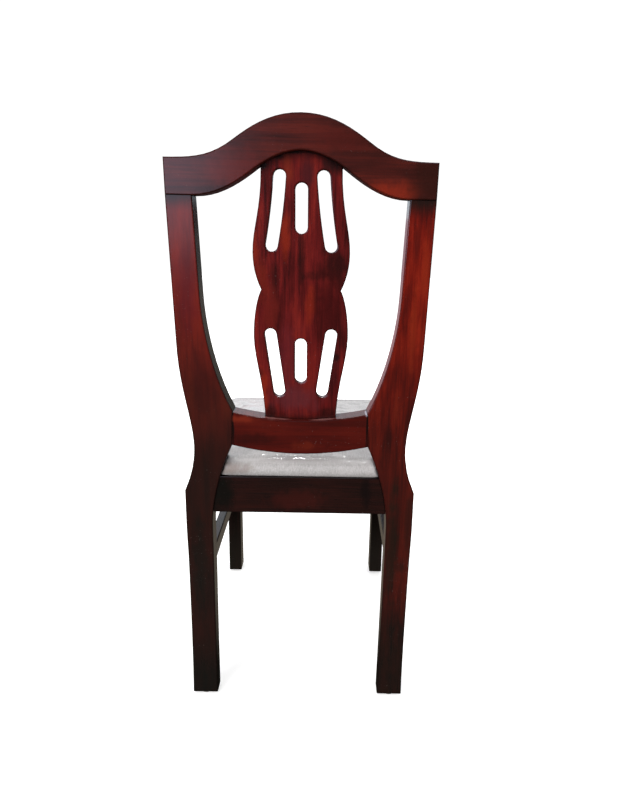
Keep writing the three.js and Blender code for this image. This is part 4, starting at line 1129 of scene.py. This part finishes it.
def stage_floor():
    """A large round floor under the glides."""
    work = bmesh.new()
    bmesh.ops.create_circle(work, cap_ends=True, radius=FLOOR_REACH, segments=FLOOR_SIDES)
    floor = mesh_object("floor", work)
    material = bpy.data.materials.new("pale floor")
    material.use_nodes = True
    tree = material.node_tree
    tree.nodes.clear()
    where = add_node(tree, "ShaderNodeTexCoord").outputs["Object"]
    away = vector_calc(tree, "LENGTH", where)
    glow = rescale(tree, away, WHITE_FROM, WHITE_BY, *SEEN_GLOW, smooth=True)
    white = add_node(tree, "ShaderNodeBsdfDiffuse", {"Color": SEEN_FLOOR})
    lift = add_node(tree, "ShaderNodeEmission", {"Color": (1, 1, 1, 1), "Strength": glow})
    seen = add_node(tree, "ShaderNodeAddShader", {0: white.outputs[0], 1: lift.outputs[0]})
    along = add_node(tree, "ShaderNodeSeparateXYZ", {0: where}).outputs["Y"]
    behind = rescale(tree, along, *BEHIND_EDGES, SHINE_UNDER, SHINE_BEHIND)
    in_front = rescale(tree, along, *IN_FRONT_EDGES, SHINE_IN_FRONT, SHINE_UNDER)
    shine = calc(tree, "MINIMUM", behind, in_front)
    mirrored = add_node(tree, "ShaderNodeEmission", {"Color": MIRRORED_FLOOR, "Strength": shine})
    felt = add_node(tree, "ShaderNodeBsdfDiffuse", {"Color": FELT_FLOOR})
    surface = by_ray(tree, seen.outputs[0], mirrored.outputs[0], felt.outputs[0])
    add_node(tree, "ShaderNodeOutputMaterial", {"Surface": surface})
    floor.data.materials.append(material)
    return floor


print("floor:", len(stage_floor().data.vertices), "corners")

# %% [markdown]
# Two sets of soft lights are used. One set only lights surfaces: a large key high on the left
# behind the chair, a fill on the right, a light from above and one in front. The other set is
# only seen in the gloss: a cool window that puts a lilac haze on the left end of the crest, pale
# walls in front, high and low, that the seat and the inner faces of the posts mirror, a high
# panel over the seat, one wall at each side, a small lamp that puts glints on the film, and a
# strip on the ceiling. Keeping the sets apart lets the lacquer stay deep and the colours bright.

# %% Studio light
CHAIR_MIDDLE = (0, 0, 0.6)
COOL = (0.74, 0.77, 1.0)
PALE = (0.84, 0.92, 1.0)
WARM = (1.0, 0.98, 0.96)
# A softbox is its name, place, side, power and colour. All look at the chair's middle.
SOFTBOXES = (
    ("key", (1.9, 2.2, 2.2), 2.4, 100, WARM),
    ("fill", (-2.0, 2.6, 1.2), 1.8, 38, (1.0, 0.97, 0.94)),
    ("ceiling", (0, -0.3, 3.2), 2.2, 56, (0.98, 0.99, 1.0)),
    ("front", (-0.8, -3.0, 2.0), 2.0, 42, (1.0, 0.99, 0.98)),
)
# A panel is its name, place, aim, size, brightness and colour.
PANELS = (
    ("window", (1.42, 2.83, 1.4), (0.1, 0.2, 0.9), (1.8, 2.0), 2.75, COOL),
    ("front wall left", (0.95, -3.0, 1.69), (0.95, 0, 1.69), (1.7, 1.42), 1.06, PALE),
    ("front wall right", (-0.6, -3.0, 1.75), (-0.6, 0, 1.75), (1.4, 1.3), 0.6, PALE),
    ("low wall left", (0.45, -3.0, 0.49), (0.45, 0, 0.49), (0.9, 0.98), 0.55, (1.0, 0.7, 0.8)),
    ("low wall right", (-0.7, -3.0, 0.5), (-0.7, 0, 0.5), (1.0, 0.8), 0.1, (0.8, 1.0, 0.95)),
    ("high front", (0.0, -1.95, 2.9), (0, -1.95, 0), (2.4, 2.1), 1.3, WARM),
    ("left wall", (3.0, -0.4, 1.2), (0, -0.4, 1.0), (2.0, 1.6), 0.5, PALE),
    ("right wall", (-3.0, -0.4, 1.2), (0, -0.4, 1.0), (2.0, 1.6), 0.5, PALE),
    ("lamp", (0.05, -1.15, 2.8), (0, 0.15, 0.46), (0.18, 0.18), 45, (1, 1, 1)),
    ("ceiling strip", (-0.35, 2.2, 2.75), (0, 0.2, 0.45), (1.3, 0.3), 1.6, COOL),
)


def area_light(name, place, aim, size, power, colour, gloss):
    """A rectangular light that looks at a point. Only the gloss sees it, or only the rest."""
    data = bpy.data.lights.new(name, "AREA")
    data.shape = "RECTANGLE"
    data.size, data.size_y = size
    data.energy = power
    data.color = colour
    light = new_object(name, data)
    light.location = place
    direction = Vector(aim) - Vector(place)
    light.rotation_euler = direction.to_track_quat("-Z", "Y").to_euler()
    light.visible_glossy = gloss
    light.visible_diffuse = not gloss
    light.visible_camera = False


for name, place, side, power, colour in SOFTBOXES:
    area_light(name, place, CHAIR_MIDDLE, (side, side), power, colour, gloss=False)
for name, place, aim, (width, height), brightness, colour in PANELS:
    power = brightness * math.pi * width * height
    area_light(name, place, aim, (width, height), power, colour, gloss=True)
print("lights:", len(SOFTBOXES), "that light and", len(PANELS), "that are mirrored")

# %% [markdown]
# The room is a white world where the camera looks, so that the chair stands before white. It is
# dark in the gloss, and it gives a dim even light to everything else.

# %% White room
ROOM_SEEN = {"Color": (1, 1, 1, 1), "Strength": 1.1}
ROOM_MIRRORED = {"Color": (1, 1, 1, 1), "Strength": 0.02}
ROOM_FELT = {"Color": (0.95, 0.97, 1, 1), "Strength": 0.42}


def white_room():
    """A world of three backgrounds, sorted by ray."""
    world = bpy.data.worlds.new("white room")
    bpy.context.scene.world = world
    world.use_nodes = True
    tree = world.node_tree
    tree.nodes.clear()
    backgrounds = [
        add_node(tree, "ShaderNodeBackground", inputs).outputs[0]
        for inputs in (ROOM_SEEN, ROOM_MIRRORED, ROOM_FELT)
    ]
    add_node(tree, "ShaderNodeOutputWorld", {"Surface": by_ray(tree, *backgrounds)})
    return world


print("world:", white_room().name)
bpy.context.scene.view_settings.view_transform = "Standard"
